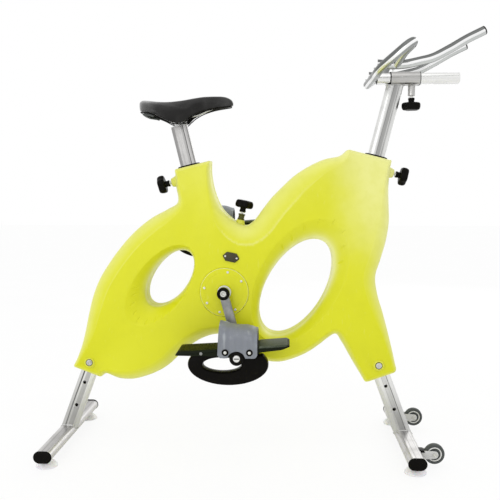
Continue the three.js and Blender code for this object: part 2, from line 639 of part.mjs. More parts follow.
const crankOuter = CRANK_INNER + CRANK_THICK;
const pedalInner = PEDAL_MIDDLE - PEDAL_WIDTH / 2;
const pedalOuter = PEDAL_MIDDLE + PEDAL_WIDTH / 2;
add('crank_axle', roundAcross(0, 0, AXLE_RADIUS, -crankOuter, crankOuter), stainless);
const drumBore = AXLE_RADIUS + FIT_GAP;
const drumHub = 2 * AXLE_RADIUS;
const drumRim = DRUM_RADIUS - AXLE_RADIUS;
const [webLow, webHigh] = [DRUM_WIDTH / 3, DRUM_WIDTH * 2 / 3];
const drumProfile = [[drumBore, 0], [drumHub, 0], [drumHub, webLow], [drumRim, webLow], [drumRim, 0],
  [DRUM_RADIUS, 0], [DRUM_RADIUS, DRUM_WIDTH], [drumRim, DRUM_WIDTH], [drumRim, webHigh],
  [drumHub, webHigh], [drumHub, DRUM_WIDTH], [drumBore, DRUM_WIDTH]];
add('brake_drum', turnedRing(drumProfile, -1, DRUM_WIDTH / 2, 20), stainless);

// A crank's side outline: a round hub, straight edges and a round eye, along the line to the pedal
function crankOutline(place) {
  const down = place.clone().normalize();
  const normal = new THREE.Vector2(-down.y, down.x);
  const arc = (centre, radius, from, to, steps) => Array.from({ length: steps + 1 }, (_, i) => {
    const angle = from + (to - from) * i / steps;
    const point = centre.clone().addScaledVector(down, radius * Math.cos(angle));
    return point.addScaledVector(normal, radius * Math.sin(angle));
  });
  const hub = arc(new THREE.Vector2(), CRANK_CAP_RADIUS, Math.PI / 4, Math.PI * 7 / 4, 9);
  const eye = arc(place, CRANK_WIDTH / 2, -Math.PI / 2, Math.PI / 2, 7);
  return [...hub, ...eye];
}

for (const [hand, side] of sides) {
  const place = pedalAxis.clone().multiplyScalar(-side);
  const arm = sidePlate(crankOutline(place), spanOn(side, CRANK_INNER, crankOuter)[0], CRANK_THICK);
  const bore = roundAcross(0, 0, AXLE_RADIUS + FIT_GAP, -PEDAL_MIDDLE, PEDAL_MIDDLE);
  const ends = spanOn(side, CRANK_INNER + CRANK_THICK / 2, pedalOuter - BARREL_END - FIT_GAP);
  const spindle = roundAcross(place.x, place.y, SPINDLE_RADIUS, ends[0], ends[1], 12);
  add(`crank_arm_${hand}`, combine(arm, [spindle], [bore]), crankPaint);
  const cap = spanOn(side, crankOuter + FIT_GAP, crankOuter + FIT_GAP + CRANK_CAP_THICK);
  add(`crank_cap_${hand}`, roundAcross(0, 0, CRANK_CAP_RADIUS, cap[0], cap[1], 20), blackPlastic);
}

// Pedals: a barrel with its keel ring, a foot plate and a toe strap

// Side outline of the foot plate: share of its length forward, share of its height up
const plateShares = [[-0.532, 0], [-0.12, 0], [0.06, 0], [0.2, 0.36], [0.43, 0.66], [0.468, 0.84],
  [0.445, 0.98], [0.19, 0.78], [-0.12, 0.56], [-0.49, 0.22]];

function ellipsePoints(x, z, length, depth, steps) {
  return circlePoints(1, steps).map((p) => new THREE.Vector2(x + p.x * length / 2, z + p.y * depth / 2));
}

function pedal(hand, side) {
  const axis = pedalAxis.clone().multiplyScalar(-side);
  const at = (points) => points.map((p) => new THREE.Vector2(p.x + axis.x, p.y + axis.y));
  const between = (near, far) => spanOn(side, near, far);
  const middle = (thick) => between(PEDAL_MIDDLE - thick / 2, PEDAL_MIDDLE + thick / 2);
  const plate = (points, [from, to], holes = []) => sidePlate(at(points), from, to - from, holes.map(at));

  const ring = plate(ellipsePoints(RING_BACK, RING_DROP, RING_LENGTH, RING_DEPTH, 32), middle(RING_THICK),
    [ellipsePoints(RING_HOLE_BACK, RING_DROP, RING_HOLE_LENGTH, RING_HOLE_DEPTH, 20)]);
  const barrel = plate(circlePoints(BARREL_RADIUS, 20), between(pedalInner, pedalOuter));
  const boss = plate(circlePoints(BARREL_RADIUS, 20), between(pedalOuter, pedalOuter + BARREL_END));
  const flat = PLATE_RISE - FIT_GAP;
  const above = sideOutline([[-RING_LENGTH, flat], [RING_LENGTH, flat],
    [RING_LENGTH, RING_DEPTH], [-RING_LENGTH, RING_DEPTH]]);
  const room = plate(above, between(pedalInner - CUT_OVERRUN, pedalOuter + FIT_GAP));
  const bore = plate(circlePoints(SPINDLE_RADIUS + FIT_GAP, 12),
    between(pedalInner - CUT_OVERRUN, pedalOuter - BARREL_END));
  const core = plate(circlePoints(BARREL_CORE_RADIUS, 16), between(pedalInner, pedalOuter));
  add(`pedal_body_${hand}`, combine(combine(barrel, [ring, boss], [room]), [core], [bore]), blackPlastic);

  const footing = plateShares.map(([x, z]) =>
    new THREE.Vector2(x * PLATE_LENGTH, PLATE_RISE + z * PLATE_HEIGHT));
  const groove = plate(circlePoints(BARREL_CORE_RADIUS + FIT_GAP, 16),
    between(pedalInner - CUT_OVERRUN, pedalOuter + CUT_OVERRUN));
  const slab = plate(footing, between(pedalInner, pedalOuter));
  add(`foot_plate_${hand}`, combine(slab, [], [groove]), blackPlastic);

  const half = PEDAL_WIDTH / 2 + FIT_GAP;
  const arch = (grow, rise) => Array.from({ length: 13 }, (_, i) => {
    const angle = Math.PI * i / 12;
    return new THREE.Vector2((half + grow) * Math.cos(angle), rise * (1 - STRAP_SPRING_SHARE)
      + rise * STRAP_SPRING_SHARE * Math.sin(angle));
  });
  const section = (x, rise) => {
    const outer = arch(STRAP_WALL, rise);
    const inner = arch(0, rise - STRAP_WALL);
    const foot = -STRAP_DROP;
    return [new THREE.Vector2(half + STRAP_WALL, foot), ...outer, new THREE.Vector2(-half - STRAP_WALL, foot),
      new THREE.Vector2(-half, foot), ...inner.reverse(), new THREE.Vector2(half, foot)]
      .map((p) => new THREE.Vector3(axis.x + x, side * PEDAL_MIDDLE + p.x, axis.y + p.y));
  };
  const rear = STRAP_FORWARD - STRAP_LENGTH / 2;
  const strap = loft([section(rear, STRAP_RISE),
    section(rear + STRAP_LENGTH / 2, STRAP_RISE * STRAP_MIDDLE_SHARE),
    section(rear + STRAP_LENGTH, STRAP_RISE * STRAP_TOE_SHARE)]);
  const notch = plate(circlePoints(BARREL_RADIUS + SLIDE_GAP, 20),
    between(pedalInner - 2 * BARREL_END, pedalOuter + 2 * BARREL_END));
  add(`toe_strap_${hand}`, combine(strap, [], [notch]), greyPlastic);
}
for (const [hand, side] of sides) pedal(hand, side);

// Brake: a rod that carries the pad down onto the drum, under its knob

const radial = (distance) => tensionUp.clone().multiplyScalar(distance);
const padInner = DRUM_RADIUS + PAD_GAP;
const padOuter = padInner + PAD_THICK;
function brakePad() {
  const middle = Math.atan2(tensionUp.y, tensionUp.x);
  const spread = radians(PAD_HALF_ANGLE);
  const arc = (radius, from, to) => Array.from({ length: 9 }, (_, i) => {
    const angle = middle + from + (to - from) * i / 8;
    return new THREE.Vector2(radius * Math.cos(angle), radius * Math.sin(angle));
  });
  const block = sidePlate([...arc(padOuter, -spread, spread), ...arc(padInner, spread, -spread)],
    -DRUM_WIDTH / 2, DRUM_WIDTH);
  const socket = roundAlong(radial(padInner + PAD_THICK / 2), tensionUp, 2 * ROD_RADIUS,
    PAD_THICK / 2 + 3 * ROD_RADIUS);
  const bore = roundAlong(radial(padOuter), tensionUp, ROD_RADIUS + FIT_GAP, 4 * ROD_RADIUS, 0, 10);
  return combine(block, [socket], [bore]);
}
add('brake_pad', brakePad(), blackPlastic);
const collarStart = tensionBossTop + FIT_GAP;
const collarEnd = collarStart + TENSION_COLLAR;
const tensionKnobStart = collarEnd + CLAMP_NECK;
const rodStart = padOuter + FIT_GAP;
const rodEnd = tensionKnobStart + KNOB_HUB - FIT_GAP;
add('brake_rod', roundAlong(radial(rodStart), tensionUp, ROD_RADIUS, rodEnd - rodStart, 0, 10), stainless);
const tensionCollar = leanTo(prism(circlePoints(TENSION_COLLAR_RADIUS, 8), TENSION_COLLAR,
  [circlePoints(ROD_RADIUS + SLIDE_GAP, 10)]), radial(collarStart), tensionUp);
add('tension_collar', tensionCollar, oliveMetal);

// Star knobs: a hub and a lobed hand wheel, along the screw's line

function lobePoints() {
  const steps = KNOB_LOBES * 5;
  return Array.from({ length: steps }, (_, i) => {
    const angle = 2 * Math.PI * i / steps;
    const radius = KNOB_RADIUS * (1 - KNOB_LOBE_SHARE * (1 - Math.cos(KNOB_LOBES * angle)) / 2);
    return new THREE.Vector2(radius * Math.cos(angle), radius * Math.sin(angle));
  });
}

function handWheel(start, out) {
  const wheel = new THREE.ExtrudeGeometry(new THREE.Shape(lobePoints()), {
    depth: KNOB_THICK - 2 * KNOB_BEVEL, steps: 1, bevelThickness: KNOB_BEVEL, bevelSize: KNOB_BEVEL,
    bevelOffset: -KNOB_BEVEL, bevelSegments: 2,
  });
  return leanTo(wheel.translate(0, 0, KNOB_HUB + KNOB_BEVEL), start, out);
}
const knobHub = (start, out) => roundAlong(start, out, KNOB_HUB_RADIUS, KNOB_HUB + KNOB_THICK / 2);

function clampKnob(name, { foot, out }, tip, reach) {
  const start = foot.clone().addScaledVector(out, reach + CLAMP_NECK);
  const studStart = foot.clone().addScaledVector(out, tip);
  const stud = roundAlong(studStart, out, KNOB_STUD_RADIUS, reach + CLAMP_NECK - tip + KNOB_HUB / 2, 0, 10);
  add(name, combine(knobHub(start, out), [handWheel(start, out), stud], []), blackPlastic);
}
const postTip = OVAL_WIDTH / 2 + FIT_GAP;
clampKnob('seat_knob', seatClamp, postTip, CLAMP_BOSS_REACH);
clampKnob('handlebar_knob', barClamp, postTip, CLAMP_BOSS_REACH);
const tensionKnobFoot = radial(tensionKnobStart);
const rodBore = roundAlong(radial(tensionKnobStart - CUT_OVERRUN), tensionUp, ROD_RADIUS + FIT_GAP,
  KNOB_HUB + CUT_OVERRUN, 0, 10);
const tensionWheel = handWheel(tensionKnobFoot, tensionUp);
add('tension_knob', combine(knobHub(tensionKnobFoot, tensionUp), [tensionWheel], [rodBore]), blackPlastic);

// Seat post, its round head, and the saddle

add('seat_post', ovalTube(seatCollar.clone().addScaledVector(seatUp, -SEAT_POST_SUNK), seatUp,
  SEAT_POST_SUNK + SEAT_POST_SHOWN), stainless);
const headCentre = seatTop.clone().addScaledVector(seatUp, FIT_GAP + HEAD_PLATE + HEAD_NECK);
function seatPostHead() {
  const cover = tubeAlong(seatTop.clone().addScaledVector(seatUp, FIT_GAP), seatUp, HEAD_PLATE);
  const inner = 2 * (OVAL_WALL + FIT_GAP);
  const plug = tubeAlong(seatTop.clone().addScaledVector(seatUp, -HEAD_PLUG), seatUp, HEAD_PLUG + HEAD_PLATE,
    OVAL_WIDTH - inner, OVAL_DEPTH - inner);
  const head = roundAcross(headCentre.x, headCentre.y, SEAT_HEAD_RADIUS, -OVAL_DEPTH / 2, OVAL_DEPTH / 2, 20);
  return combine(plug, [cover, head], []);
}
add('seat_post_head', seatPostHead(), stainless);

// Saddle sections from tail to nose: way along, half width, crown height and edge height, as shares
const saddleShares = [
  [0, 0.42, 0.56, 0.5], [0.04, 0.7, 0.7, 0.46], [0.1, 0.9, 0.77, 0.42], [0.2, 1, 0.79, 0.26],
  [0.3, 0.97, 0.81, 0.12], [0.42, 0.82, 0.87, 0], [0.5, 0.66, 0.89, 0.02], [0.58, 0.52, 0.92, 0.16],
  [0.68, 0.38, 0.96, 0.36], [0.8, 0.29, 1, 0.53], [0.9, 0.25, 0.99, 0.58], [0.97, 0.18, 0.92, 0.6],
  [1, 0.1, 0.84, 0.64],
];
const saddleLow = seatTop.y;
const saddleTail = seatTop.x - SADDLE_REAR;
const saddlePlace = (way) => saddleTail + way * SADDLE_LENGTH;
const saddleRise = (share) => saddleLow + share * SADDLE_HEIGHT;

// The cushion's section: a crown that draws in to its lower edge
function cushionSection([way, wide, crown, edge]) {
  const half = wide * SADDLE_WIDTH / 2;
  const low = saddleRise(edge);
  return Array.from({ length: 15 }, (_, i) => {
    const sine = Math.sin(Math.PI * (0.5 - i / 14));
    const across = half * Math.sign(sine) * Math.abs(sine) ** SADDLE_SQUARE_SHARE;
    const up = (saddleRise(crown) - low) * Math.sqrt(Math.max(1 - sine * sine, 0)) ** SADDLE_CROWN_SHARE;
    return new THREE.Vector3(saddlePlace(way), across, low + up);
  });
}

// Height of the cushion's roof over its hollow
const roofHeight = ([, , crown, edge]) =>
  Math.max(saddleRise(crown) - SADDLE_PADDING, saddleRise(edge) + SADDLE_BASE_THICK);

// Section of the hollow under the cushion: how far across and how far up to the roof
const hollowShares = [[1, 0], [0.92, 0.55], [0.6, 1], [0, 1], [-0.6, 1], [-0.92, 0.55], [-1, 0]];
function hollowSection(row) {
  const half = row[1] * SADDLE_WIDTH / 2 * SADDLE_HOLLOW_SHARE;
  const low = saddleRise(row[3]) - CUT_OVERRUN;
  return hollowShares.map(([across, up]) =>
    new THREE.Vector3(saddlePlace(row[0]), across * half, low + (roofHeight(row) - low) * up));
}
add('saddle_cushion', combine(loft(saddleShares.map(cushionSection)), [],
  [loft(saddleShares.slice(1, -1).map(hollowSection))]), blackLeather);

// The base lies under the cushion's roof and follows it
function baseSection(row) {
  const half = row[1] * SADDLE_WIDTH / 2 * SADDLE_HOLLOW_SHARE * SADDLE_BASE_SHARE;
  const top = roofHeight(row) - FIT_GAP;
  const low = top - SADDLE_BASE_THICK;
  const corners = [[-half, low], [half, low], [half, top], [-half, top]];
  return corners.map(([y, z]) => new THREE.Vector3(saddlePlace(row[0]), y, z));
}
add('saddle_base', loft(saddleShares.slice(2, -2).map(baseSection)), blackPlastic);

const railZ = headCentre.y + RAIL_ABOVE_HEAD;
function underBase(way) {
  const next = saddleShares.findIndex((row) => row[0] >= way);
  const [low, high] = [saddleShares[next - 1], saddleShares[next]];
  const mix = (way - low[0]) / (high[0] - low[0]);
  const crown = low[2] + (high[2] - low[2]) * mix;
  return saddleRise(crown) - SADDLE_PADDING - SADDLE_BASE_THICK - 2 * FIT_GAP;
}
function railPath() {
  const half = RAIL_SPACING / 2;
  const tailWay = 0.12;
  const noseWay = 0.88;
  const tail = underBase(tailWay) - RAIL_RADIUS;
  const nose = underBase(noseWay) - RAIL_RADIUS;
  const side = (y) => [
    [tailWay, 1.2, tail], [0.17, 1.1, (tail + railZ) / 2], [0.24, 1, railZ], [0.4, 1, railZ],
    [0.56, 1, railZ], [0.72, 0.7, (nose + railZ) / 2], [0.85, 0.4, nose],
  ].map(([way, across, z]) => new THREE.Vector3(saddlePlace(way), y * across, z));
  const tip = new THREE.Vector3(saddlePlace(noseWay), 0, nose);
  return smooth([...side(half), tip, ...side(-half).reverse()]);
}
add('saddle_rails', sweep(railPath(), RAIL_RADIUS, 40, 0, 6), stainless);

function saddleClamp() {
  const half = SADDLE_CLAMP_LENGTH / 2;
  const block = sideOutline([[half, 0], [half, SADDLE_CLAMP_HEIGHT], [-half, SADDLE_CLAMP_HEIGHT], [-half, 0]],
    headCentre);
  const wide = RAIL_SPACING / 2 + 2 * RAIL_RADIUS;
  const past = wide + CUT_OVERRUN;
  const head = roundAcross(headCentre.x, headCentre.y, SEAT_HEAD_RADIUS + FIT_GAP, -past, past, 20);
  const rails = sweep(railPath(), RAIL_RADIUS + FIT_GAP, 40, 0, 6);
  return combine(sidePlate(block, -wide, 2 * wide), [], [head, rails]);
}
add('saddle_clamp', saddleClamp(), blackPlastic);

// Handlebar post with its sleeve, and the handlebar that slides in it

const sleeveHeight = OVAL_DEPTH + 2 * (SLIDE_GAP + SLEEVE_WALL);
const sleeveX = barTop.x + SLEEVE_FORWARD;
const slideZ = barTop.y + FIT_GAP + sleeveHeight / 2;
const sleeveRear = sleeveX - SLEEVE_LENGTH / 2;
const slideRear = sleeveRear - SLIDE_BEHIND;

// Lays a prism along +X, with its own x to +Y and its own y to +Z
function forwardAt(geometry, x, z) {
  const matrix = new THREE.Matrix4().makeBasis(
    new THREE.Vector3(0, 1, 0), new THREE.Vector3(0, 0, 1), new THREE.Vector3(1, 0, 0));
  matrix.setPosition(x, 0, z);
  return geometry.applyMatrix4(matrix);
}
const forwardOval = (x, length, grow) =>
  forwardAt(prism(ovalPoints(OVAL_WIDTH + 2 * grow, OVAL_DEPTH + 2 * grow), length), x, slideZ);

function handlebarPost() {
  const tube = ovalTube(barCollar.clone().addScaledVector(barUp, -BAR_POST_SUNK), barUp,
    BAR_POST_SUNK + BAR_POST_SHOWN + sleeveHeight / 2);
  const room = forwardOval(sleeveRear - SLEEVE_LENGTH, 2 * SLEEVE_LENGTH, SLIDE_GAP + SLEEVE_WALL + FIT_GAP);
  return combine(tube, [], [room]);
}
add('handlebar_post', handlebarPost(), stainless);

const down = new THREE.Vector2(0, -1);
const stemFoot = new THREE.Vector2(sleeveX + STEM_FORWARD, slideZ);
const stemReach = sleeveHeight / 2 + STEM_LENGTH;
function slideSleeve() {
  const grow = SLIDE_GAP + SLEEVE_WALL;
  const stem = roundAlong(stemFoot, down, STEM_RADIUS, stemReach, 0, 16);
  const bore = roundAlong(stemFoot, down, KNOB_STUD_RADIUS + SLIDE_GAP, stemReach + CUT_OVERRUN, 0, 10);
  const inner = forwardOval(sleeveRear - CUT_OVERRUN, SLEEVE_LENGTH + 2 * CUT_OVERRUN, SLIDE_GAP);
  return combine(forwardOval(sleeveRear, SLEEVE_LENGTH, grow), [stem], [inner, bore]);
}
add('slide_sleeve', slideSleeve(), stainless);
clampKnob('slide_knob', { foot: stemFoot, out: down }, OVAL_DEPTH / 2 + FIT_GAP, stemReach);

const ovalInner = ovalPoints(OVAL_WIDTH - 2 * OVAL_WALL, OVAL_DEPTH - 2 * OVAL_WALL);
const slidePrism = prism(ovalPoints(OVAL_WIDTH, OVAL_DEPTH), SLIDE_LENGTH, [ovalInner]);
add('slide_tube', forwardAt(slidePrism, slideRear, slideZ), stainless);

// Grip bar from the middle out to one end: forward, up and out, as shares of its loop
const loopShares = [[0, 0, 0], [0, 0, 0.38], [0.01, 0.03, 0.61], [0.14, 0.19, 0.75], [0.45, 0.5, 0.92],
  [0.8, 0.86, 0.985], [0.97, 1, 0.94], [1, 0.97, 0.86], [0.9, 0.72, 0.7]];
const barX = slideRear - BAR_RADIUS - FIT_GAP;
const loopPlace = ([forward, up, out], side) =>
  new THREE.Vector3(barX + forward * LOOP_FORWARD, side * out * LOOP_SPREAD, slideZ + up * LOOP_RISE);
const hornBase = slideZ + 2 * BAR_RADIUS + FIT_GAP;
const hornShares = [[0, 0], [0.16, 0.01], [0.26, 0.1], [0.37, 0.16], [0.53, 0.3], [0.77, 0.71], [1, 1]];
function hornPath(side) {
  const across = side * HORN_SPREAD;
  return smooth(hornShares.map(([forward, up]) =>
    new THREE.Vector3(barX + forward * HORN_LENGTH, across, hornBase + up * HORN_RISE)));
}
function gripPath() {
  const joint = (side) => hornPath(side).getPointAt(LOOP_JOINT_SHARE);
  const right = loopShares.slice(1).map((row) => loopPlace(row, -1)).reverse();
  const left = loopShares.slice(1).map((row) => loopPlace(row, 1));
  return smooth([joint(-1), ...right, loopPlace(loopShares[0], 1), ...left, joint(1)]);
}
const horn = (side, grow, wall) => sweep(hornPath(side), BAR_RADIUS + grow, 11, wall, 8);
add('grip_bar', combine(sweep(gripPath(), BAR_RADIUS, 36, BAR_WALL, 8), [],
  [horn(-1, FIT_GAP, 0), horn(1, FIT_GAP, 0)]), stainless);
for (const [hand, side] of sides) {
  add(`horn_${hand}`, horn(side, 0, BAR_WALL), stainless);
  const end = hornPath(side).getPoint(1);
  const tangent = hornPath(side).getTangent(1);
  const out = new THREE.Vector2(tangent.x, tangent.z).normalize();
  const tip = new THREE.Vector2(end.x, end.z);
  const cap = roundAlong(tip.clone().addScaledVector(out, FIT_GAP), out, BAR_RADIUS, HORN_CAP, end.y, 12);
  const plug = roundAlong(tip.clone().addScaledVector(out, -3 * HORN_CAP), out,
    BAR_RADIUS - BAR_WALL - 5 * FIT_GAP, 3.5 * HORN_CAP, end.y, 10);
  add(`horn_cap_${hand}`, combine(cap, [plug], []), blackPlastic);
}

// Legs: an oval tube with height holes, welded to a stabiliser with end caps and rubber feet

const crossOval = (x, z, length, grow = 0) =>
  acrossAt(prism(ovalPoints(OVAL_WIDTH + 2 * grow, OVAL_DEPTH + 2 * grow), length), x, -length / 2, z);

function legTube(bolt, up, axle) {
  const top = bolt.clone().addScaledVector(up, LEG_SUNK);
  const tube = ovalTube(axle, up, top.distanceTo(axle));
  const under = sideOutline([[-OVAL_WIDTH, -OVAL_WIDTH], [OVAL_WIDTH, -OVAL_WIDTH], [OVAL_WIDTH, 0],
    [-OVAL_WIDTH, 0]], axle);
  const cuts = [crossOval(axle.x, axle.y, STABILISER_LENGTH, FIT_GAP),
    sidePlate(under, -OVAL_DEPTH, 2 * OVAL_DEPTH)];
  for (let step = 0; step < LEG_HOLES; step += 1) {
    const hole = bolt.clone().addScaledVector(up, -step * LEG_HOLE_PITCH);
    cuts.push(roundAcross(hole.x, hole.y, LEG_HOLE_RADIUS, -OVAL_DEPTH, OVAL_DEPTH, 10));
  }
  return combine(tube, [], cuts);
}

function endCap(axle, side) {
  const end = STABILISER_LENGTH / 2;
  const slab = (near, far, inset) => {
    const [from, to] = spanOn(side, near, far);
    const section = ovalPoints(OVAL_WIDTH - 2 * inset, OVAL_DEPTH - 2 * inset);
    return acrossAt(prism(section, to - from), axle.x, from, axle.y);
  };
  return combine(slab(end + FIT_GAP, end + END_CAP, 0),
    [slab(end - 2 * END_CAP, end + END_CAP / 2, OVAL_WALL + FIT_GAP)], []);
}

function foot(axle, side) {
  const profile = footShares.map(([wide, up]) => new THREE.Vector2(FOOT_RADIUS * wide, FOOT_HEIGHT * up));
  const turned = new THREE.LatheGeometry(profile, 20).rotateX(Math.PI / 2);
  return turned.translate(axle.x, side * (STABILISER_LENGTH / 2 - FOOT_INSET), floorZ);
}

function leg(end, bolt, up, axle) {
  add(`${end}_leg_tube`, legTube(bolt, up, axle), stainless);
  const hollow = ovalPoints(OVAL_WIDTH - 2 * OVAL_WALL, OVAL_DEPTH - 2 * OVAL_WALL);
  const stabiliser = acrossAt(prism(ovalPoints(OVAL_WIDTH, OVAL_DEPTH), STABILISER_LENGTH, [hollow]),
    axle.x, -STABILISER_LENGTH / 2, axle.y);
  add(`${end}_stabiliser`, stabiliser, stainless);
  for (const [hand, side] of sides) {
    add(`${end}_end_cap_${hand}`, endCap(axle, side), blackPlastic);
    add(`${end}_foot_${hand}`, foot(axle, side), clearRubber);
  }
}
leg('rear', rearBolt, rearUp, rearAxle);
leg('front', frontBolt, frontUp, frontAxle);

// Transport wheels in forks on the front stabiliser

const wheelX = frontAxle.x + WHEEL_FORWARD;
const wheelZ = floorZ + WHEEL_RADIUS + WHEEL_LIFT;
for (const [hand, side] of sides) {
  const y = side * (STABILISER_LENGTH / 2 - WHEEL_INSET);
  const slot = WHEEL_WIDTH / 2 + FORK_GAP;
  const outer = slot + FORK_WALL;
  const root = frontAxle.x + OVAL_DEPTH / 2;
  const bend = FORK_EYE * Math.SQRT1_2;
  const cheek = sideOutline([[root, frontAxle.y - FORK_DEPTH], [wheelX, wheelZ - FORK_EYE],
    [wheelX + bend, wheelZ - bend], [wheelX + FORK_EYE, wheelZ], [wheelX + bend, wheelZ + bend],
    [wheelX, wheelZ + FORK_EYE], [root, frontAxle.y + FORK_DEPTH]]);
  const room = roundAcross(wheelX, wheelZ, WHEEL_RADIUS + FORK_GAP, y - slot, y + slot, 24);
  const pin = slot + FORK_WALL / 2;
  const axle = roundAcross(wheelX, wheelZ, WHEEL_AXLE_RADIUS, y - pin, y + pin, 12);
  const tube = crossOval(frontAxle.x, frontAxle.y, STABILISER_LENGTH, FIT_GAP);
  const fork = combine(sidePlate(cheek, y - outer, 2 * outer), [], [room, tube]);
  add(`wheel_fork_${hand}`, combine(fork, [axle], []), whitePlastic);
  const bore = WHEEL_AXLE_RADIUS + FIT_GAP;
  const profile = treadShares.map(([radius, way]) =>
    [Math.max(radius * WHEEL_RADIUS, bore), way * WHEEL_WIDTH]);
  const wheel = turnedRing(profile, -1, 0, 24).translate(wheelX, y, wheelZ);
  add(`wheel_${hand}`, wheel, greyRubber);
}

// The crank axis goes to its height, and the middle of the outer box to X = 0
const box = new THREE.Box3().setFromObject(bike);
bike.position.set(-(box.min.x + box.max.x) / 2, 0, CRANK_HEIGHT);

export default bike;
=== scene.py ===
"""Aqua bike: finished surfaces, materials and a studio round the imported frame.

Shapes are worked out in millimetres about the crank axis, +X forward, +Y to the
rider's left, +Z up. A piece's points go to metres and to the frame's own place
when its mesh is made.
"""
import logging
import math
from dataclasses import dataclass, field
from enum import Enum

import bmesh
import bpy
import numpy as np
from mathutils import Matrix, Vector
from mathutils.geometry import delaunay_2d_cdt


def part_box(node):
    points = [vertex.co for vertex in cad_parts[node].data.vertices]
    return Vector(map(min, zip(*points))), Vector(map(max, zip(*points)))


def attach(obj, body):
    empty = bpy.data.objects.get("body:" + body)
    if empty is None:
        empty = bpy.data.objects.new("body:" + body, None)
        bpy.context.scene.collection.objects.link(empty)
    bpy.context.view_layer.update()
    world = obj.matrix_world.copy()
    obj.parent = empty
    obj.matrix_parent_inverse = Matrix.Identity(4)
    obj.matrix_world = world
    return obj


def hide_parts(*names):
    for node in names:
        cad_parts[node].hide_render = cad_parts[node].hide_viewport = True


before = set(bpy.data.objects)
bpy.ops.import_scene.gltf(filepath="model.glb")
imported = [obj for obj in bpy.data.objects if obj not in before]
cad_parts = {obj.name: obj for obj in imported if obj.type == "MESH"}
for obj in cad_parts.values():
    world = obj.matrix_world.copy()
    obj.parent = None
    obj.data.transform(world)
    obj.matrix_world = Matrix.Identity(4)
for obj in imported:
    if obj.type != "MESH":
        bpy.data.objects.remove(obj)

log = logging.getLogger("aqua_bike")
Array = np.ndarray
Pair = tuple[float, float]
Triple = tuple[float, float, float]
Object = bpy.types.Object
Socket = bpy.types.NodeSocket
MM = 0.001
CRANK_HEIGHT = 480.0
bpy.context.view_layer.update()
AXLE_LOW, AXLE_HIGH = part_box("crank_axle")
SHIFT = np.array([(AXLE_LOW.x + AXLE_HIGH.x) / 2 / MM, 0.0, CRANK_HEIGHT])
OVAL = (50.0, 30.0)
OVAL_WALL = 2.0


# Plane outlines

def unit(vectors: Array) -> Array:
    """Vectors brought to length one."""
    return vectors / np.maximum(np.linalg.norm(vectors, axis=-1, keepdims=True), 1e-9)


def leaning(degrees: float) -> Array:
    """A direction in the side plane that leans forward from upright."""
    return np.array([math.sin(math.radians(degrees)), math.cos(math.radians(degrees))])


def circle(radius: float, steps: int) -> Array:
    """A circle: radius times cosine and sine of equal angles."""
    angle = np.linspace(0, 2 * np.pi, steps, endpoint=False)
    return radius * np.stack([np.cos(angle), np.sin(angle)], 1)


def arc(radius: float, start: float, end: float, steps: int) -> Array:
    """Points on a circle from one angle to another, in degrees."""
    angle = np.radians(np.linspace(start, end, steps))
    return radius * np.stack([np.cos(angle), np.sin(angle)], 1)


def stadium(width: float, depth: float, steps: int) -> Array:
    """A flat oval: two half circles of the depth, joined by straight flats.

    Args:
        width: size along x.
        depth: size along y, which is also the ends' diameter.
        steps: steps in each half circle.

    Returns:
        Points, anticlockwise.
    """
    end = arc(depth / 2, -90, 90, steps + 1)
    half = width / 2 - depth / 2
    return np.concatenate([end + [half, 0], -end - [half, 0]])


def oval(grow: float = 0.0, steps: int = 14) -> Array:
    """The flat oval of the bike's tubes, made so much larger."""
    return stadium(OVAL[0] + grow, OVAL[1] + grow, steps)


def parabola(start: Array, corner: Array, end: Array, t: Array) -> Array:
    """A corner's curve: (1-t)^2 the start, plus 2t(1-t) the corner, plus t^2 the end."""
    return (1 - t) ** 2 * start + 2 * t * (1 - t) * corner + t ** 2 * end


def fillet(points: Array | list, radius: float | Array, steps: int = 4) -> Array:
    """Rounds each corner of a closed outline with a parabola.

    Args:
        points: the outline's corners.
        radius: how far from the corner the curve starts, one for all or one each.
        steps: steps in each curve.

    Returns:
        The rounded outline.
    """
    points = np.asarray(points, float)
    before, after = np.roll(points, 1, 0) - points, np.roll(points, -1, 0) - points
    reach = np.broadcast_to(np.asarray(radius, float).reshape(-1, 1), (len(points), 1))
    near = np.minimum(reach, 0.45 * np.linalg.norm(before, axis=1, keepdims=True))
    far = np.minimum(reach, 0.45 * np.linalg.norm(after, axis=1, keepdims=True))
    start, end = points + unit(before) * near, points + unit(after) * far
    t = np.linspace(0, 1, steps + 1)[None, :, None]
    return parabola(start[:, None], points[:, None], end[:, None], t).reshape(-1, 2)


def normals(outline: Array) -> Array:
    """Outward directions of a closed anticlockwise outline, long enough to keep a miter.

    Args:
        outline: points of the outline in order.

    Returns:
        One direction for each point.
    """
    turn = np.array([[0, -1], [1, 0]])
    a, b = unit(outline - np.roll(outline, 1, 0)) @ turn, unit(np.roll(outline, -1, 0) - outline) @ turn
    return (a + b) / np.maximum(1 + (a * b).sum(1, keepdims=True), 0.4)


def mirrored(outline: Array, side: int) -> Array:
    """An outline seen from the right side, turned round for the left one."""
    return (outline * [-side, 1])[::-side]


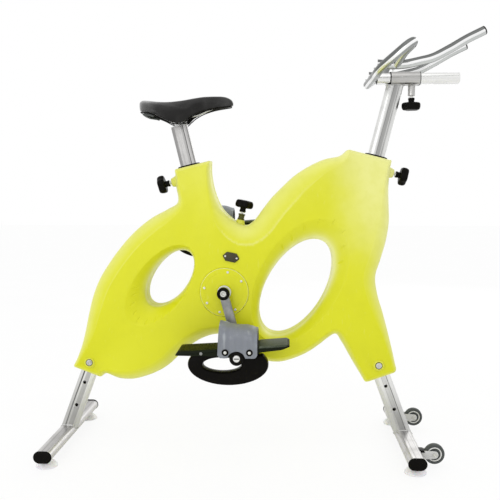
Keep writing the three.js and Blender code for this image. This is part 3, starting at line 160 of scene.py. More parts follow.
def spline(points: Array, per_span: int) -> Array:
    """A smooth curve through points: Catmull-Rom with knots at the root of the chords.

    Args:
        points: rows of any number of columns.
        per_span: new points for each span.

    Returns:
        The denser rows.
    """
    p = np.concatenate([2 * points[:1] - points[1:2], points, 2 * points[-1:] - points[-2:-1]])
    a, b, c, d = p[:-3], p[1:-2], p[2:-1], p[3:]
    knot = [np.zeros((len(a), 1))]
    for low, high in ((a, b), (b, c), (c, d)):
        knot.append(knot[-1] + np.maximum(np.linalg.norm(high - low, axis=1, keepdims=True), 1e-6) ** 0.5)
    k0, k1, k2, k3 = (k[:, None] for k in knot)
    a, b, c, d = (x[:, None] for x in (a, b, c, d))
    t = k1 + (k2 - k1) * np.linspace(0, 1, per_span, endpoint=False)[None, :, None]

    def mixed(low: Array, high: Array, start: Array, end: Array) -> Array:
        """Two curves mixed by how far t has come from a start to an end."""
        return (low * (end - t) + high * (t - start)) / (end - start)
    ab, bc, cd = mixed(a, b, k0, k1), mixed(b, c, k1, k2), mixed(c, d, k2, k3)
    curve = mixed(mixed(ab, bc, k0, k2), mixed(bc, cd, k1, k3), k1, k2)
    return np.concatenate([curve.reshape(-1, points.shape[1]), points[-1:]])


# Sizes that the assemblies share

SIDES = (("right", -1), ("left", 1))
GAP = 0.35
SEAT_UP, BAR_UP = leaning(-13.8), leaning(14.3)
REAR_UP, FRONT_UP = leaning(20.4), leaning(-20.4)
SEAT_COLLAR, BAR_COLLAR = np.array([-110.6, 368.9]), np.array([444.6, 395.5])
COLLARS = (("seat", SEAT_COLLAR, SEAT_UP), ("handlebar", BAR_COLLAR, BAR_UP))
CLAMP_DEPTH = 34.0
CLAMPS = tuple((name, collar - up * CLAMP_DEPTH, way * np.array([up[1], -up[0]]))
               for (name, collar, up), way in zip(COLLARS, (-1, 1)))
REAR_BOLT, FRONT_BOLT = np.array([-411.0, -220.0]), np.array([456.0, -219.0])
LEG_BOLTS = (("rear", REAR_BOLT), ("front", FRONT_BOLT))
LEG_BOSS = 53.0
TENSION = np.array([43.0, 205.0])
TENSION_UP = unit(TENSION)
SEAT_TOP, BAR_TOP = SEAT_COLLAR + SEAT_UP * 122, BAR_COLLAR + BAR_UP * 215
SLEEVE_GROW = 8.0
SLIDE_Z = BAR_TOP[1] + GAP + (OVAL[1] + SLEEVE_GROW) / 2


# Surfaces

@dataclass(frozen=True)
class Axes:
    """A place and three directions to lay a local shape by."""
    origin: Array
    x: Array
    y: Array
    z: Array

    def lay(self, points: Array) -> Array:
        """Local points set down in the bike's own space."""
        return self.origin + points @ np.stack([self.x, self.y, self.z])

    def moved(self, x: float, y: float, z: float, flip: int = 1) -> "Axes":
        """The same directions at a local place, or turned round about y by a flip of -1."""
        return Axes(self.lay(np.array([x, y, z])), self.x * flip, self.y, self.z * flip)


def side_point(place: Array | Pair, across: float = 0.0) -> Array:
    """A place in the side plane as a point of the bike's space."""
    return np.array([place[0], across, place[1]])


def along(place: Array, up: Array, across: float = 0.0) -> Axes:
    """Local z along a direction in the side plane, local y to the rider's left."""
    return Axes(side_point(place, across), side_point((up[1], -up[0])), np.array([0.0, 1, 0]), side_point(up))


def outward(side: int, place: Array | Pair, across: float = 0.0) -> Axes:
    """Local z out of one side of the bike, local y up."""
    return Axes(side_point(place, side * across), np.array([-side, 0.0, 0]),
                np.array([0.0, 0, 1]), np.array([0.0, side, 0]))


def forward(x: float, z: float) -> Axes:
    """Local z along +X, local x to the rider's left, local y up."""
    return Axes(np.array([x, 0.0, z]), np.array([0.0, 1, 0]), np.array([0.0, 0, 1]), np.array([1.0, 0, 0]))


@dataclass
class Surface:
    """Points, four-sided faces with their map, and the flat faces that close the ends."""
    points: Array
    quads: Array
    uv: Array
    caps: list[list[int]] = field(default_factory=list)

    @property
    def faces(self) -> list[list[int]]:
        """Every face's point numbers."""
        return self.quads.tolist() + self.caps

    def laid(self, axes: Axes) -> "Surface":
        """The same surface set down by some axes."""
        return Surface(axes.lay(self.points), self.quads, self.uv, self.caps)


def skin(rings: Array, wrap: bool = False) -> Surface:
    """Joins rings of equally many points by four-sided faces.

    The map runs in metres: across by the length round each ring, up by the length
    from ring to ring, so that brushed streaks follow a bent tube.

    Args:
        rings: points by ring, each ring anticlockwise seen against its way.
        wrap: whether the last ring joins the first; otherwise both ends are closed.

    Returns:
        The surface.
    """
    rows, count = rings.shape[:2]
    row = np.arange(rows if wrap else rows - 1)[:, None]
    col = np.arange(count)[None, :]
    up, right = (row + 1) % rows, (col + 1) % count
    quads = np.stack([row * count + col, row * count + right, up * count + right, up * count + col], -1)
    around = np.linalg.norm(np.roll(rings, -1, 1) - rings, axis=2).mean(0)
    rise = np.linalg.norm(np.roll(rings, -1, 0) - rings, axis=2).mean(1)
    u, v = (np.concatenate([[0], np.cumsum(part)]) * MM for part in (around, rise))
    uv = np.stack([np.stack(np.broadcast_arrays(u[col + i], v[row + j]), -1)
                   for i, j in ((0, 0), (1, 0), (1, 1), (0, 1))], 2)
    ends = [] if wrap else [list(range(count))[::-1], list(range((rows - 1) * count, rows * count))]
    return Surface(rings.reshape(-1, 3), quads.reshape(-1, 4), uv.reshape(-1, 4, 2), ends)


def raised(flat: Array, levels: Array | list, wrap: bool = False) -> Surface:
    """Plane outlines set at their levels along z and joined."""
    height = np.broadcast_to(np.reshape(levels, (-1, 1, 1)), (*flat.shape[:2], 1))
    return skin(np.concatenate([flat, height], 2), wrap)


def stepped(levels: tuple, wrap: bool = False) -> Surface:
    """Outlines drawn in by so much at their levels: rows of outline, draw and level."""
    flat = np.stack([line - normals(line) * draw for line, draw, _ in levels])
    return raised(flat, [level for *_, level in levels], wrap)


def join(*parts: Surface) -> Surface:
    """Several surfaces as one, with the later ones' numbers moved on.

    Args:
        parts: the surfaces.

    Returns:
        The joined surface.
    """
    first = np.cumsum([0] + [len(p.points) for p in parts[:-1]])
    caps = [[int(i + n) for i in cap] for p, n in zip(parts, first) for cap in p.caps]
    return Surface(np.concatenate([p.points for p in parts]),
                   np.concatenate([p.quads + n for p, n in zip(parts, first)]),
                   np.concatenate([p.uv for p in parts]), caps)


def extruded(outline: Array, length: float, edge: float = 0.8, steps: int = 3, low: float = 0.0) -> Surface:
    """An outline carried along z, with its two edges rounded.

    Near each end the outline draws in by edge times one minus the sine while it
    moves along by edge times one minus the cosine.

    Args:
        outline: closed outline, anticlockwise.
        length: length along z.
        edge: radius of the rounding.
        steps: steps in the rounding.
        low: where it starts along z.

    Returns:
        The closed surface.
    """
    angle = np.linspace(0, np.pi / 2, steps + 1)
    inset, rise = edge * (1 - np.sin(angle)), edge * (1 - np.cos(angle))
    draw = np.concatenate([inset, inset[::-1]])[:, None, None]
    levels = low + np.concatenate([rise, length - rise[::-1]])
    return raised(outline[None] - normals(outline)[None] * draw, levels)


def tube(length: float, grow: float = 0.0, bore: float = -2 * OVAL_WALL, low: float = 0.0) -> Surface:
    """An open oval tube: its outer outline run up and its inner outline run back.

    Args:
        length: length along z.
        grow: how much larger than the bike's oval it is outside.
        bore: how much larger than the bike's oval its hollow is.
        low: where it starts along z.

    Returns:
        The surface.
    """
    outer, inner = oval(grow), oval(bore)
    return raised(np.stack([outer, outer, inner, inner]), low + np.array([0.0, length, length, 0.0]), True)


def turned(rows: list[Pair] | Array, radius: float, steps: int, closed: bool = False,
           wave: Array | None = None) -> Surface:
    """A profile of radius and height turned about z.

    Args:
        rows: the profile's corners, going up on the outside.
        radius: how much its corners are rounded; an open profile keeps its two ends.
        steps: steps round.
        closed: whether the profile closes on itself, as a ring's does.
        wave: a factor on the radius for each step, such as a knob's lobes.

    Returns:
        The surface.
    """
    profile = np.array(rows, float)
    if radius:
        size = np.full(len(profile), radius)
        if not closed:
            size[[0, -1]] = 0
        profile = fillet(profile, size)[slice(None) if closed else slice(4, -4)]
    around = circle(1.0, steps) * (1 if wave is None else wave[:, None])
    return raised(profile[:, None, :1] * around[None], profile[:, 1], closed)


def lobes(count: int, depth: float, steps: int) -> Array:
    """A factor on the radius for each step: one plus depth times the cosine of count turns."""
    return 1 + depth * np.cos(count * np.linspace(0, 2 * np.pi, steps, endpoint=False))


def swept(path: Array, radius: float | Array, steps: int, ref: Triple = (0, 1, 0)) -> Surface:
    """A round section carried along a path and closed at both ends.

    At each point the section lies across the path's tangent: centre plus radius times
    cosine along the normal, plus radius times sine along the binormal.

    Args:
        path: points of the middle line.
        radius: one radius, or one for each point.
        steps: steps round.
        ref: a direction never along the path, from which the normal is taken.

    Returns:
        The closed surface.
    """
    tangent, aim = unit(np.gradient(path, axis=0)), np.array(ref, float)
    normal = unit(aim - (tangent @ aim)[:, None] * tangent)
    binormal = np.cross(tangent, normal)
    size = np.broadcast_to(np.asarray(radius, float).reshape(-1, 1, 1), (len(path), 1, 1))
    ring = circle(1.0, steps)[None]
    return skin(path[:, None] + size * (ring[..., :1] * normal[:, None] + ring[..., 1:] * binormal[:, None]))


def pan_head(radius: float) -> Surface:
    """A pan head screw with a sunk drive."""
    rows = [(1, -0.6), (1, 0.8), (0.8, 1.7), (0.42, 2.0), (0.36, 0.9), (0.1 / radius, 0.8)]
    return turned(np.array(rows) * [radius, 1], 0, 16)


# Materials

class Value:
    """A number in a material, which adds Math nodes when it is worked with."""

    def __init__(self, graph: "Graph", socket: Socket) -> None:
        """Keeps the graph and the socket that the number comes from."""
        self.graph, self.socket = graph, socket

    def calc(self, operation: str, *terms: "Value | float") -> "Value":
        """The result of one Math node on some terms."""
        made = self.graph.node("ShaderNodeMath", {"operation": operation}, dict(enumerate(terms)))
        return self.graph.value(made)

    def __add__(self, other: "Value | float") -> "Value":
        """Sum."""
        return self.calc("ADD", self, other)

    def __sub__(self, other: "Value | float") -> "Value":
        """Difference."""
        return self.calc("SUBTRACT", self, other)

    def __rsub__(self, other: float) -> "Value":
        """A plain number less this one."""
        return self.calc("SUBTRACT", other, self)

    def __mul__(self, other: "Value | float") -> "Value":
        """Product."""
        return self.calc("MULTIPLY", self, other)

    def either(self, other: "Value") -> "Value":
        """The larger of two numbers."""
        return self.calc("MAXIMUM", self, other)

    def __abs__(self) -> "Value":
        """The size without its sign."""
        return self.calc("ABSOLUTE", self)

    __radd__ = __add__
    __rmul__ = __mul__

    def between(self, low: float, high: float, start: float = 0.0, end: float = 1.0) -> "Value":
        """Eases low..high to start..end, clamped.

        Args:
            low: the value that gives start.
            high: the value that gives end.
            start: the first result.
            end: the last result.

        Returns:
            The eased number.
        """
        settings = {"interpolation_type": "SMOOTHSTEP"}
        inputs = {"Value": self, "From Min": low, "From Max": high, "To Min": start, "To Max": end}
        return self.graph.value(self.graph.node("ShaderNodeMapRange", settings, inputs))


class Graph:
    """A material's or a world's node tree, with one method that makes every node."""

    def __init__(self, owner: bpy.types.Material | bpy.types.World) -> None:
        """Starts the owner's tree afresh.

        Args:
            owner: the material or world whose nodes are made.
        """
        owner.use_nodes = True
        self.owner, self.tree = owner, owner.node_tree
        self.tree.nodes.clear()

    def node(self, kind: str, settings: dict | None = None, inputs: dict | None = None) -> bpy.types.Node:
        """Makes a node.

        Args:
            kind: the node's type.
            settings: its own settings, set before its sockets.
            inputs: socket name or number to a value, a Value or a socket to link.

        Returns:
            The node.
        """
        made = self.tree.nodes.new(kind)
        for key, value in (settings or {}).items():
            setattr(made, key, value)
        for key, value in (inputs or {}).items():
            value = value.socket if isinstance(value, Value) else value
            if isinstance(value, Socket):
                self.tree.links.new(value, made.inputs[key])
            else:
                made.inputs[key].default_value = value
        return made

    def value(self, node: bpy.types.Node, output: int | str = 0) -> Value:
        """A node's output as a number to work with."""
        return Value(self, node.outputs[output])

    def place(self, scale: Triple = (1, 1, 1), mapped: bool = False) -> Socket:
        """Object coordinates, or the piece's own map, stretched along each axis."""
        source = self.node("ShaderNodeTexCoord").outputs["UV" if mapped else "Object"]
        return self.node("ShaderNodeMapping", {}, {"Vector": source, "Scale": scale}).outputs[0]

    def noise(self, place: Socket, scale: float, detail: float = 3.0) -> Value:
        """Cloudy noise from 0 to 1."""
        inputs = {"Vector": place, "Scale": scale, "Detail": detail, "Roughness": 0.55}
        return self.value(self.node("ShaderNodeTexNoise", {}, inputs))

    def cells(self, place: Socket, scale: float, feature: str = "F1") -> Value:
        """Distance to the nearest cell point or cell edge."""
        made = self.node("ShaderNodeTexVoronoi", {"feature": feature}, {"Vector": place, "Scale": scale})
        return self.value(made)

    def attribute(self, name: str) -> Value:
        """A number stored on the mesh."""
        return self.value(self.node("ShaderNodeAttribute", {"attribute_name": name}), "Fac")

    def axis(self, axis: str, mapped: bool = False) -> Value:
        """One of the object coordinates, or of the piece's own map."""
        return self.value(self.node("ShaderNodeSeparateXYZ", {}, {0: self.place(mapped=mapped)}), axis)

    def blend(self, factor: Value | float, low: object, high: object) -> Socket:
        """Mixes two colours; the colour sockets of a Mix node are its sixth and seventh."""
        return self.node("ShaderNodeMix", {"data_type": "RGBA"}, {0: factor, 6: low, 7: high}).outputs[2]

    def mix(self, factor: Value, low: Socket, high: Socket) -> Socket:
        """Mixes two shaders."""
        return self.node("ShaderNodeMixShader", {}, {0: factor, 1: low, 2: high}).outputs[0]

    def bump(self, height: Value, depth: float, strength: float = 1.0) -> Socket:
        """A normal bent by a height in metres at full strength."""
        inputs = {"Height": height, "Distance": depth, "Strength": strength}
        return self.node("ShaderNodeBump", {}, inputs).outputs[0]

    def shader(self, **sockets: object) -> Socket:
        """A Principled shader, its sockets named with underscores for blanks."""
        inputs = {key.replace("_", " "): value for key, value in sockets.items()}
        return self.node("ShaderNodeBsdfPrincipled", {}, inputs).outputs["BSDF"]

    def show(self, surface: Socket, kind: str = "Material") -> bpy.types.Material | bpy.types.World:
        """Links the tree's output, and gives back its owner."""
        self.node(f"ShaderNodeOutput{kind}", {}, {"Surface": surface})
        return self.owner

    def finish(self, **sockets: object) -> bpy.types.Material:
        """The material with a Principled shader fed by these sockets."""
        return self.show(self.shader(**sockets))


def rgba(color: Triple, factor: float = 1.0) -> tuple[float, float, float, float]:
    """A linear colour, made lighter or darker, with full cover."""
    return tuple(min(c * factor, 1.0) for c in color) + (1.0,)


@dataclass(frozen=True)
class LimeShell:
    """Rotomoulded lime polyethylene: mottled, with a painted highlight at its rims and painted light towards
    the top.
    """
    name: str = "lime_shell"
    deep: Triple = (0.68, 0.69, 0.008)
    # pale is the colour that the top is painted towards as painted light; rim is the colour of the painted
    # rim highlight, and of the scuffs.
    pale: Triple = (0.80, 0.80, 0.30)
    rim: Triple = (0.87, 0.875, 0.42)
    rough: float = 0.4
    slot: str = "body"

    def build(self) -> bpy.types.Material:
        """The finished material: painted light makes it paler as it climbs with height, and again up the
        front tower.

        Returns:
            The material.
        """
        g = Graph(bpy.data.materials.new(self.name))
        here = g.place()
        cloud, fine = g.noise(here, 5.5, 4), g.noise(here, 34, 5)
        # Painted light: the top and the front tower are painted paler, as if lit from above.
        high = g.axis("Z") + (cloud - 0.5) * 0.2
        tower = (g.axis("X") + (cloud - 0.5) * 0.1).between(0.17, 0.33) * high.between(0.42, 0.72)
        climb = (high.between(0.5, 1.1) * 0.48 + tower * 0.5).between(0, 1)
        base = g.blend(climb, rgba(self.deep), rgba(self.pale))
        # Painted highlight: the stored paleness mixes in the rim colour along rims and creases and round the
        # windows.
        edge = (g.attribute("pale") * (0.72 + 0.5 * cloud)).between(0.0, 1.0)
        base = g.blend(edge, base, rgba(self.rim))
        base = g.blend(fine.between(0.42, 0.72, 0.0, 0.14), base, rgba(self.deep, 0.86))
        scuff = g.noise(g.place((1, 1, 0.25)), 160, 2).between(0.62, 0.78, 0.0, 0.08)
        base = g.blend(scuff, base, rgba(self.rim))
        peel = g.noise(here, 420, 2) * 0.6 + g.noise(here, 90, 2)
        rough = self.rough + (cloud - 0.5) * 0.16 + scuff
        return g.finish(Base_Color=base, Roughness=rough, Normal=g.bump(peel, 0.0004, 0.55),
                        Coat_Weight=0.05, Coat_Roughness=0.3, Specular_IOR_Level=0.32)


@dataclass(frozen=True)
class Steel:
    """Polished stainless tube: fine streaks along it, painted reflections in stripes where its section turns,
    and painted shade low down.

    Each painted reflection band is its middle, its half width and its soft edge, in metres round
    the section by the piece's own map, and how dark it makes the steel.
    """
    name: str = "stainless_fitting"
    color: Triple = (0.6, 0.6, 0.59)
    rough: float = 0.24
    streak: float = 1.0
    painted_reflections: tuple[tuple[float, float, float, float], ...] = ()
    slot: str = "stainless"

    def build(self) -> bpy.types.Material:
        """Mixes the material's nodes.

        Returns:
            The material.
        """
        g = Graph(bpy.data.materials.new(self.name))
        mapped = bool(self.painted_reflections)
        wide = g.place((260, 5, 1) if mapped else (90, 90, 90), mapped)
        fine = g.place((1500, 14, 1) if mapped else (400, 400, 400), mapped)
        broad, hair = g.noise(wide, 1.0, 4), g.noise(fine, 1.0, 3)
        smear = g.noise(g.place(), 14, 3)
        base = rgba(self.color)
        if mapped:
            # Painted reflections: stripes of darker and lighter tone round the section.
            around = g.axis("X", True)
            wander = (g.noise(g.place(), 9, 2) - 0.5) * 0.004
            for middle, half, soft, tone in self.painted_reflections:
                near = abs(around + wander - middle).between(half, half + soft, 1.0, 0.0)
                base = g.blend(near, base, rgba(self.color, tone))
            # Painted shade: the steel is darker towards the bottom, near the floor.
            low = (g.axis("Z") + wander * 4).between(0.08, 0.24, 0.5, 0.0)
            base = g.blend(low, base, rgba(self.color, 0.62))
        base = g.blend(broad.between(0.3, 0.75, 0.0, 0.3 * self.streak), base, rgba(self.color, 0.5))
        base = g.blend(hair.between(0.4, 0.7, 0.0, 0.22 * self.streak), base, rgba(self.color, 1.35))
        base = g.blend(smear.between(0.5, 0.8, 0.0, 0.25), base, rgba(self.color, 0.62))
        rough = self.rough + hair * 0.1 * self.streak + smear.between(0.45, 0.8, 0.0, 0.12)
        return g.finish(Base_Color=base, Roughness=rough, Metallic=1.0, Normal=g.bump(hair, 0.00006, 0.35))


@dataclass(frozen=True)
class Moulded:
    """Moulded plastic or rubber: fine grain, soft scuffs and a little dust, with a painted highlight along
    folds where crease is set.
    """
    name: str
    color: Triple
    worn: Triple
    rough: float = 0.42
    grain: float = 0.0002
    scale: float = 900.0
    wear: float = 0.3
    through: float = 0.0
    shine: float = 0.5
    # Strength of a painted highlight along folds.
    crease: float = 0.0
    slot: str = "black_plastic"

    def build(self) -> bpy.types.Material:
        """Mixes the material's nodes.

        Returns:
            The material.
        """
        g = Graph(bpy.data.materials.new(self.name))
        here = g.place()
        grain, cloud = g.noise(here, self.scale, 2), g.noise(here, 38, 4)
        scratch = g.noise(g.place((1, 0.12, 1)), 420, 3)
        base = g.blend(cloud.between(0.45, 0.8, 0.0, self.wear), rgba(self.color), rgba(self.worn))
        base = g.blend(scratch.between(0.63, 0.74, 0.0, self.wear), base, rgba(self.worn, 1.3))
        base = g.blend(grain.between(0.35, 0.7, 0.0, 0.25), base, rgba(self.color, 0.7))
        # Painted highlight: light streaks along the folds, in the worn colour made lighter.
        if self.crease:
            painted_fold_highlight = g.noise(g.place((34, 34, 7)), 1.0, 1).between(0.58, 0.7)
            painted_fold_highlight = painted_fold_highlight * cloud.between(0.3, 0.6, 0.4, 1.0)
            base = g.blend(painted_fold_highlight * self.crease, base, rgba(self.worn, 1.35))
        rough = self.rough + (cloud - 0.5) * 0.24 + scratch.between(0.6, 0.75, 0.0, 0.12)
        return g.finish(Base_Color=base, Roughness=rough, Normal=g.bump(grain, self.grain, 0.6),
                        Subsurface_Weight=self.through, Subsurface_Scale=0.004,
                        Specular_IOR_Level=self.shine)


@dataclass(frozen=True)
class Leather:
    """Black saddle cover: pebbled grain with creases, and a painted sheen at its tail and nose, where it also
    has more coat.
    """
    name: str = "saddle_leather"
    color: Triple = (0.005, 0.0045, 0.004)
    worn: Triple = (0.019, 0.0183, 0.017)
    # The tail and nose are painted towards this tone as a painted sheen.
    paler_tone: Triple = (0.075, 0.075, 0.072)
    tail: Pair = (-0.345, -0.285)
    nose: Pair = (-0.15, -0.095)
    slot: str = "saddle_cover"

    def build(self) -> bpy.types.Material:
        """Mixes the material's nodes.

        Returns:
            The material.
        """
        g = Graph(bpy.data.materials.new(self.name))
        here = g.place()
        pebble = g.cells(here, 620)
        crease = g.cells(here, 300, "DISTANCE_TO_EDGE").between(0.0, 0.14)
        cloud, fine = g.noise(here, 26, 4), g.noise(here, 1500, 2)
        base = g.blend(cloud.between(0.4, 0.75, 0.0, 0.7), rgba(self.color), rgba(self.worn))
        # Painted sheen: the tail and, less, the nose are painted paler.
        along_x = g.axis("X") + (cloud - 0.5) * 0.03
        ends = along_x.between(*self.tail, 1.0, 0.0) + along_x.between(*self.nose, 0.0, 0.35)
        base = g.blend(ends * 0.6, base, rgba(self.paler_tone))
        base = g.blend((1 - crease) * 0.55, base, rgba(self.color, 0.35))
        height = crease * 0.7 + (1 - pebble) * 0.35 + fine * 0.15
        rough = 0.27 + cloud.between(0.35, 0.8, 0.0, 0.18) + (1 - crease) * 0.1
        return g.finish(Base_Color=base, Roughness=rough, Normal=g.bump(height, 0.00012, 0.5),
                        Coat_Weight=(ends + cloud.between(0.5, 0.75, 0.0, 0.25)).between(0.0, 1.0),
                        Coat_Roughness=0.25, Specular_IOR_Level=0.26)


@dataclass(frozen=True)
class Coated:
    """Painted or plated metal: cloudy tone, pits and rubbed patches."""
    name: str
    color: Triple
    paler_tone: Triple
    metal: float = 0.75
    rough: float = 0.34
    slot: str = "stainless"

    def build(self) -> bpy.types.Material:
        """Mixes the material's nodes.

        Returns:
            The material.
        """
        g = Graph(bpy.data.materials.new(self.name))
        here = g.place()
        cloud, pit = g.noise(here, 24, 4), g.noise(here, 700, 2)
        brushed = g.noise(g.place((1200, 1200, 40)), 1.0, 2)
        base = g.blend(cloud.between(0.38, 0.72, 0.0, 0.75), rgba(self.color), rgba(self.paler_tone))
        base = g.blend(brushed.between(0.4, 0.7, 0.0, 0.25), base, rgba(self.color, 0.6))
        rough = self.rough + cloud.between(0.4, 0.8, 0.0, 0.18)
        return g.finish(Base_Color=base, Roughness=rough, Metallic=self.metal,
                        Normal=g.bump(pit, 0.00008, 0.5))


# Painted reflections round a section: darker and lighter stripes that stand in for the surroundings mirrored
# in the steel, given as middle, half width, soft edge, tone. An oval tube's two flats lie from 47.1 to 67.1
# mm and from 114.2 to 134.2 mm round it.
ARC_REFLECTIONS = ((0.0236, 0.017, 0.005, 1.5), (0.0906, 0.017, 0.005, 1.5))
EDGE_REFLECTIONS = tuple((middle, 0.0003, 0.0009, 0.14) for middle in (0.0, 0.0471, 0.0671, 0.1142, 0.1342))
REAR_LEG_REFLECTIONS = ((0.0155, 0.0165, 0.003, 1.9), (0.0975, 0.0155, 0.001, 1.6), (0.1062, 0.0013, 0.0013, 0.12),
                  (0.1335, 0.002, 0.002, 1.6))
FRONT_LEG_REFLECTIONS = ((0.0236, 0.0215, 0.002, 1.75), (0.0906, 0.0215, 0.002, 1.8), (0.1242, 0.0085, 0.002, 1.45),
                   (0.0008, 0.0005, 0.001, 0.12), (0.1342, 0.0004, 0.0008, 0.12))
SEAT_REFLECTIONS = ((0.0236, 0.0205, 0.002, 1.75), (0.001, 0.0006, 0.001, 0.16), (0.012, 0.0006, 0.001, 0.3),
              (0.1342, 0.0004, 0.0008, 0.16), (0.118, 0.003, 0.003, 1.3))
POST_REFLECTIONS = (*ARC_REFLECTIONS, *EDGE_REFLECTIONS, (0.1195, 0.0035, 0.002, 0.62), (0.0571, 0.0035, 0.002, 0.62))
SLIDE_REFLECTIONS = (*ARC_REFLECTIONS, *EDGE_REFLECTIONS, (0.1242, 0.006, 0.003, 1.5))
SLEEVE_REFLECTIONS = (*((middle, 0.0005, 0.001, 0.3) for middle in (0.0, 0.0597, 0.0797, 0.1394, 0.1594)),
                *((middle, 0.014, 0.012, 1.35) for middle in (0.03, 0.11)))
BAR_REFLECTIONS = ((0.0292, 0.0062, 0.002, 0.24), (0.010, 0.0062, 0.002, 0.24), (0.0402, 0.003, 0.001, 2.2),
             (0.0485, 0.003, 0.0015, 1.3), (0.0558, 0.0012, 0.0012, 0.2), (0.0785, 0.003, 0.001, 2.2),
             (0.0, 0.003, 0.001, 2.2), (0.0693, 0.003, 0.0015, 1.3))
LOOP_REFLECTIONS = tuple(band for near in (0.0, 0.0785) for side in (1 - 2 * (near > 0),) for band in (
    (near + side * 0.0098, 0.0065, 0.002, 0.3), (near + side * 0.0213, 0.003, 0.001, 2.2),
    (near + side * 0.0305, 0.0035, 0.0015, 0.7), (near + side * 0.0378, 0.0012, 0.001, 0.24)))


class Finish(Enum):
    """Every finish on the bike."""
    SHELL = LimeShell()
    # The stainless copies are one steel painted in different tones as painted light: darker for parts that
    # stand in shade, lighter for those that catch the light.
    SEAT = Steel("stainless_seat_post", (0.36, 0.355, 0.35), streak=1.4, painted_reflections=SEAT_REFLECTIONS)
    POST = Steel("stainless_bar_post", (0.56, 0.56, 0.55), painted_reflections=POST_REFLECTIONS)
    SLIDE = Steel("stainless_slide", (0.58, 0.58, 0.57), 0.2, 0.7, SLIDE_REFLECTIONS)
    REAR_LEG = Steel("stainless_rear_leg", (0.48, 0.48, 0.465), 0.3, 0.9, REAR_LEG_REFLECTIONS)
    FRONT_LEG = Steel("stainless_front_leg", (0.5, 0.5, 0.49), 0.3, 0.8, FRONT_LEG_REFLECTIONS)
    STABILISER = Steel("stainless_stabiliser", (0.56, 0.55, 0.54), 0.28, 0.8, (*ARC_REFLECTIONS, *EDGE_REFLECTIONS))
    BAR = Steel("stainless_bar", (0.46, 0.475, 0.465), 0.14, 0.4, BAR_REFLECTIONS)
    LOOP = Steel("stainless_loop", (0.46, 0.475, 0.465), 0.28, 0.4, LOOP_REFLECTIONS)
    SLEEVE = Steel("stainless_sleeve", (0.42, 0.415, 0.405), streak=1.3, painted_reflections=SLEEVE_REFLECTIONS)
    FITTING = Steel(streak=0.5)
    BLACK = Moulded("black_moulding", (0.0035, 0.003, 0.0022), (0.011, 0.010, 0.009), 0.32, wear=0.35,
                    shine=0.06)
    TREAD = Moulded("black_tread", (0.006, 0.009, 0.003), (0.016, 0.022, 0.010), 0.5, 0.0004, 520, shine=0.1)
    GRIP = Moulded("olive_grip", (0.055, 0.068, 0.042), (0.13, 0.15, 0.11), 0.55, 0.0006, 420, 0.8, shine=0.2)
    GREY = Moulded("grey_strap", (0.2, 0.215, 0.245), (0.3, 0.32, 0.34), 0.38, 0.00015, 700, 0.5, shine=0.4,
                   crease=0.75, slot="grey_plastic")
    WHITE = Moulded("white_moulding", (0.8, 0.8, 0.77), (0.66, 0.66, 0.63), 0.4, wear=0.25,
                    slot="white_plastic")
    FOOT = Moulded("foot_rubber", (0.88, 0.87, 0.9), (0.8, 0.79, 0.81), 0.3, through=0.08,
                   slot="clear_rubber")
    TYRE = Moulded("tyre_rubber", (0.075, 0.082, 0.079), (0.13, 0.137, 0.132), 0.6, 0.0003, 600, shine=0.2,
                   slot="grey_rubber")
    RIM = Moulded("pale_fork", (0.6, 0.6, 0.585), (0.72, 0.72, 0.7), 0.4, slot="white_plastic")
    COVER = Leather()
    CRANK = Coated("crank_metal", (0.24, 0.245, 0.24), (0.5, 0.5, 0.48), slot="crank_paint")
    OLIVE = Coated("olive_collar", (0.075, 0.075, 0.018), (0.15, 0.14, 0.06), 0.6, slot="collar_metal")
    BRIGHT = Coated("bright_screw", (0.72, 0.72, 0.7), (0.9, 0.9, 0.88), 0.35, 0.25)
    SCREW = Coated("plated_screw", (0.5, 0.5, 0.47), (0.8, 0.8, 0.76), 0.9, 0.24)
    PLATE = Coated("olive_plate", (0.026, 0.022, 0.003), (0.05, 0.044, 0.012), 0.1, 0.4, "black_plastic")

    def material(self) -> bpy.types.Material:
        """This finish's material, made once."""
        return bpy.data.materials.get(self.value.name) or self.value.build()



# Pieces

def linked(name: str, data: bpy.types.ID) -> Object:
    """A new object with its data, put into the scene.

    Args:
        name: the object's name.
        data: its mesh, lamp or camera.

    Returns:
        The object.
    """
    made = bpy.data.objects.new(name, data)
    bpy.context.scene.collection.objects.link(made)
    return made


def turn_to(made: Object, right: Array, up: Array, back: Array, place: Array) -> None:
    """Sets a camera's or a lamp's directions and place, in metres."""
    made.matrix_world = Matrix([*np.column_stack([right, up, back, place]).tolist(), [0, 0, 0, 1]])


def smooth(mesh: bpy.types.Mesh, sharp: float = 35.0) -> None:
    """Shades a mesh smooth, with its edges sharp from an angle in degrees."""
    mesh.polygons.foreach_set("use_smooth", np.ones(len(mesh.polygons), bool))
    mesh.set_sharp_from_angle(angle=math.radians(sharp))


def new_object(name: str, points: Array, faces: list, sharp: float = 35.0) -> Object:
    """Makes a smooth-shaded mesh object from points in millimetres about the crank.

    Args:
        name: the piece's name.
        points: the points.
        faces: lists of point numbers.
        sharp: degrees from which an edge stays sharp.

    Returns:
        The linked object.
    """
    mesh = bpy.data.meshes.new(name)
    mesh.from_pydata(((points + SHIFT) * MM).tolist(), [], faces)
    smooth(mesh, sharp)
    return linked(name, mesh)


def settle(made: Object, finish: Finish, body: str, stands: str = "") -> None:
    """Gives a piece its finish, its body and the node it stands for.

    Args:
        made: the piece.
        finish: its material.
        body: the body it moves with.
        stands: the node it stands for, when its name isn't that node's with _skin.
    """
    made.data.materials.clear()
    made.data.materials.append(finish.material())
    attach(made, body)
    node = stands or made.name.removesuffix("_skin")
    if node != made.name:
        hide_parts(node)
    log.info("%s rides on %s with %d faces", made.name, body, len(made.data.polygons))


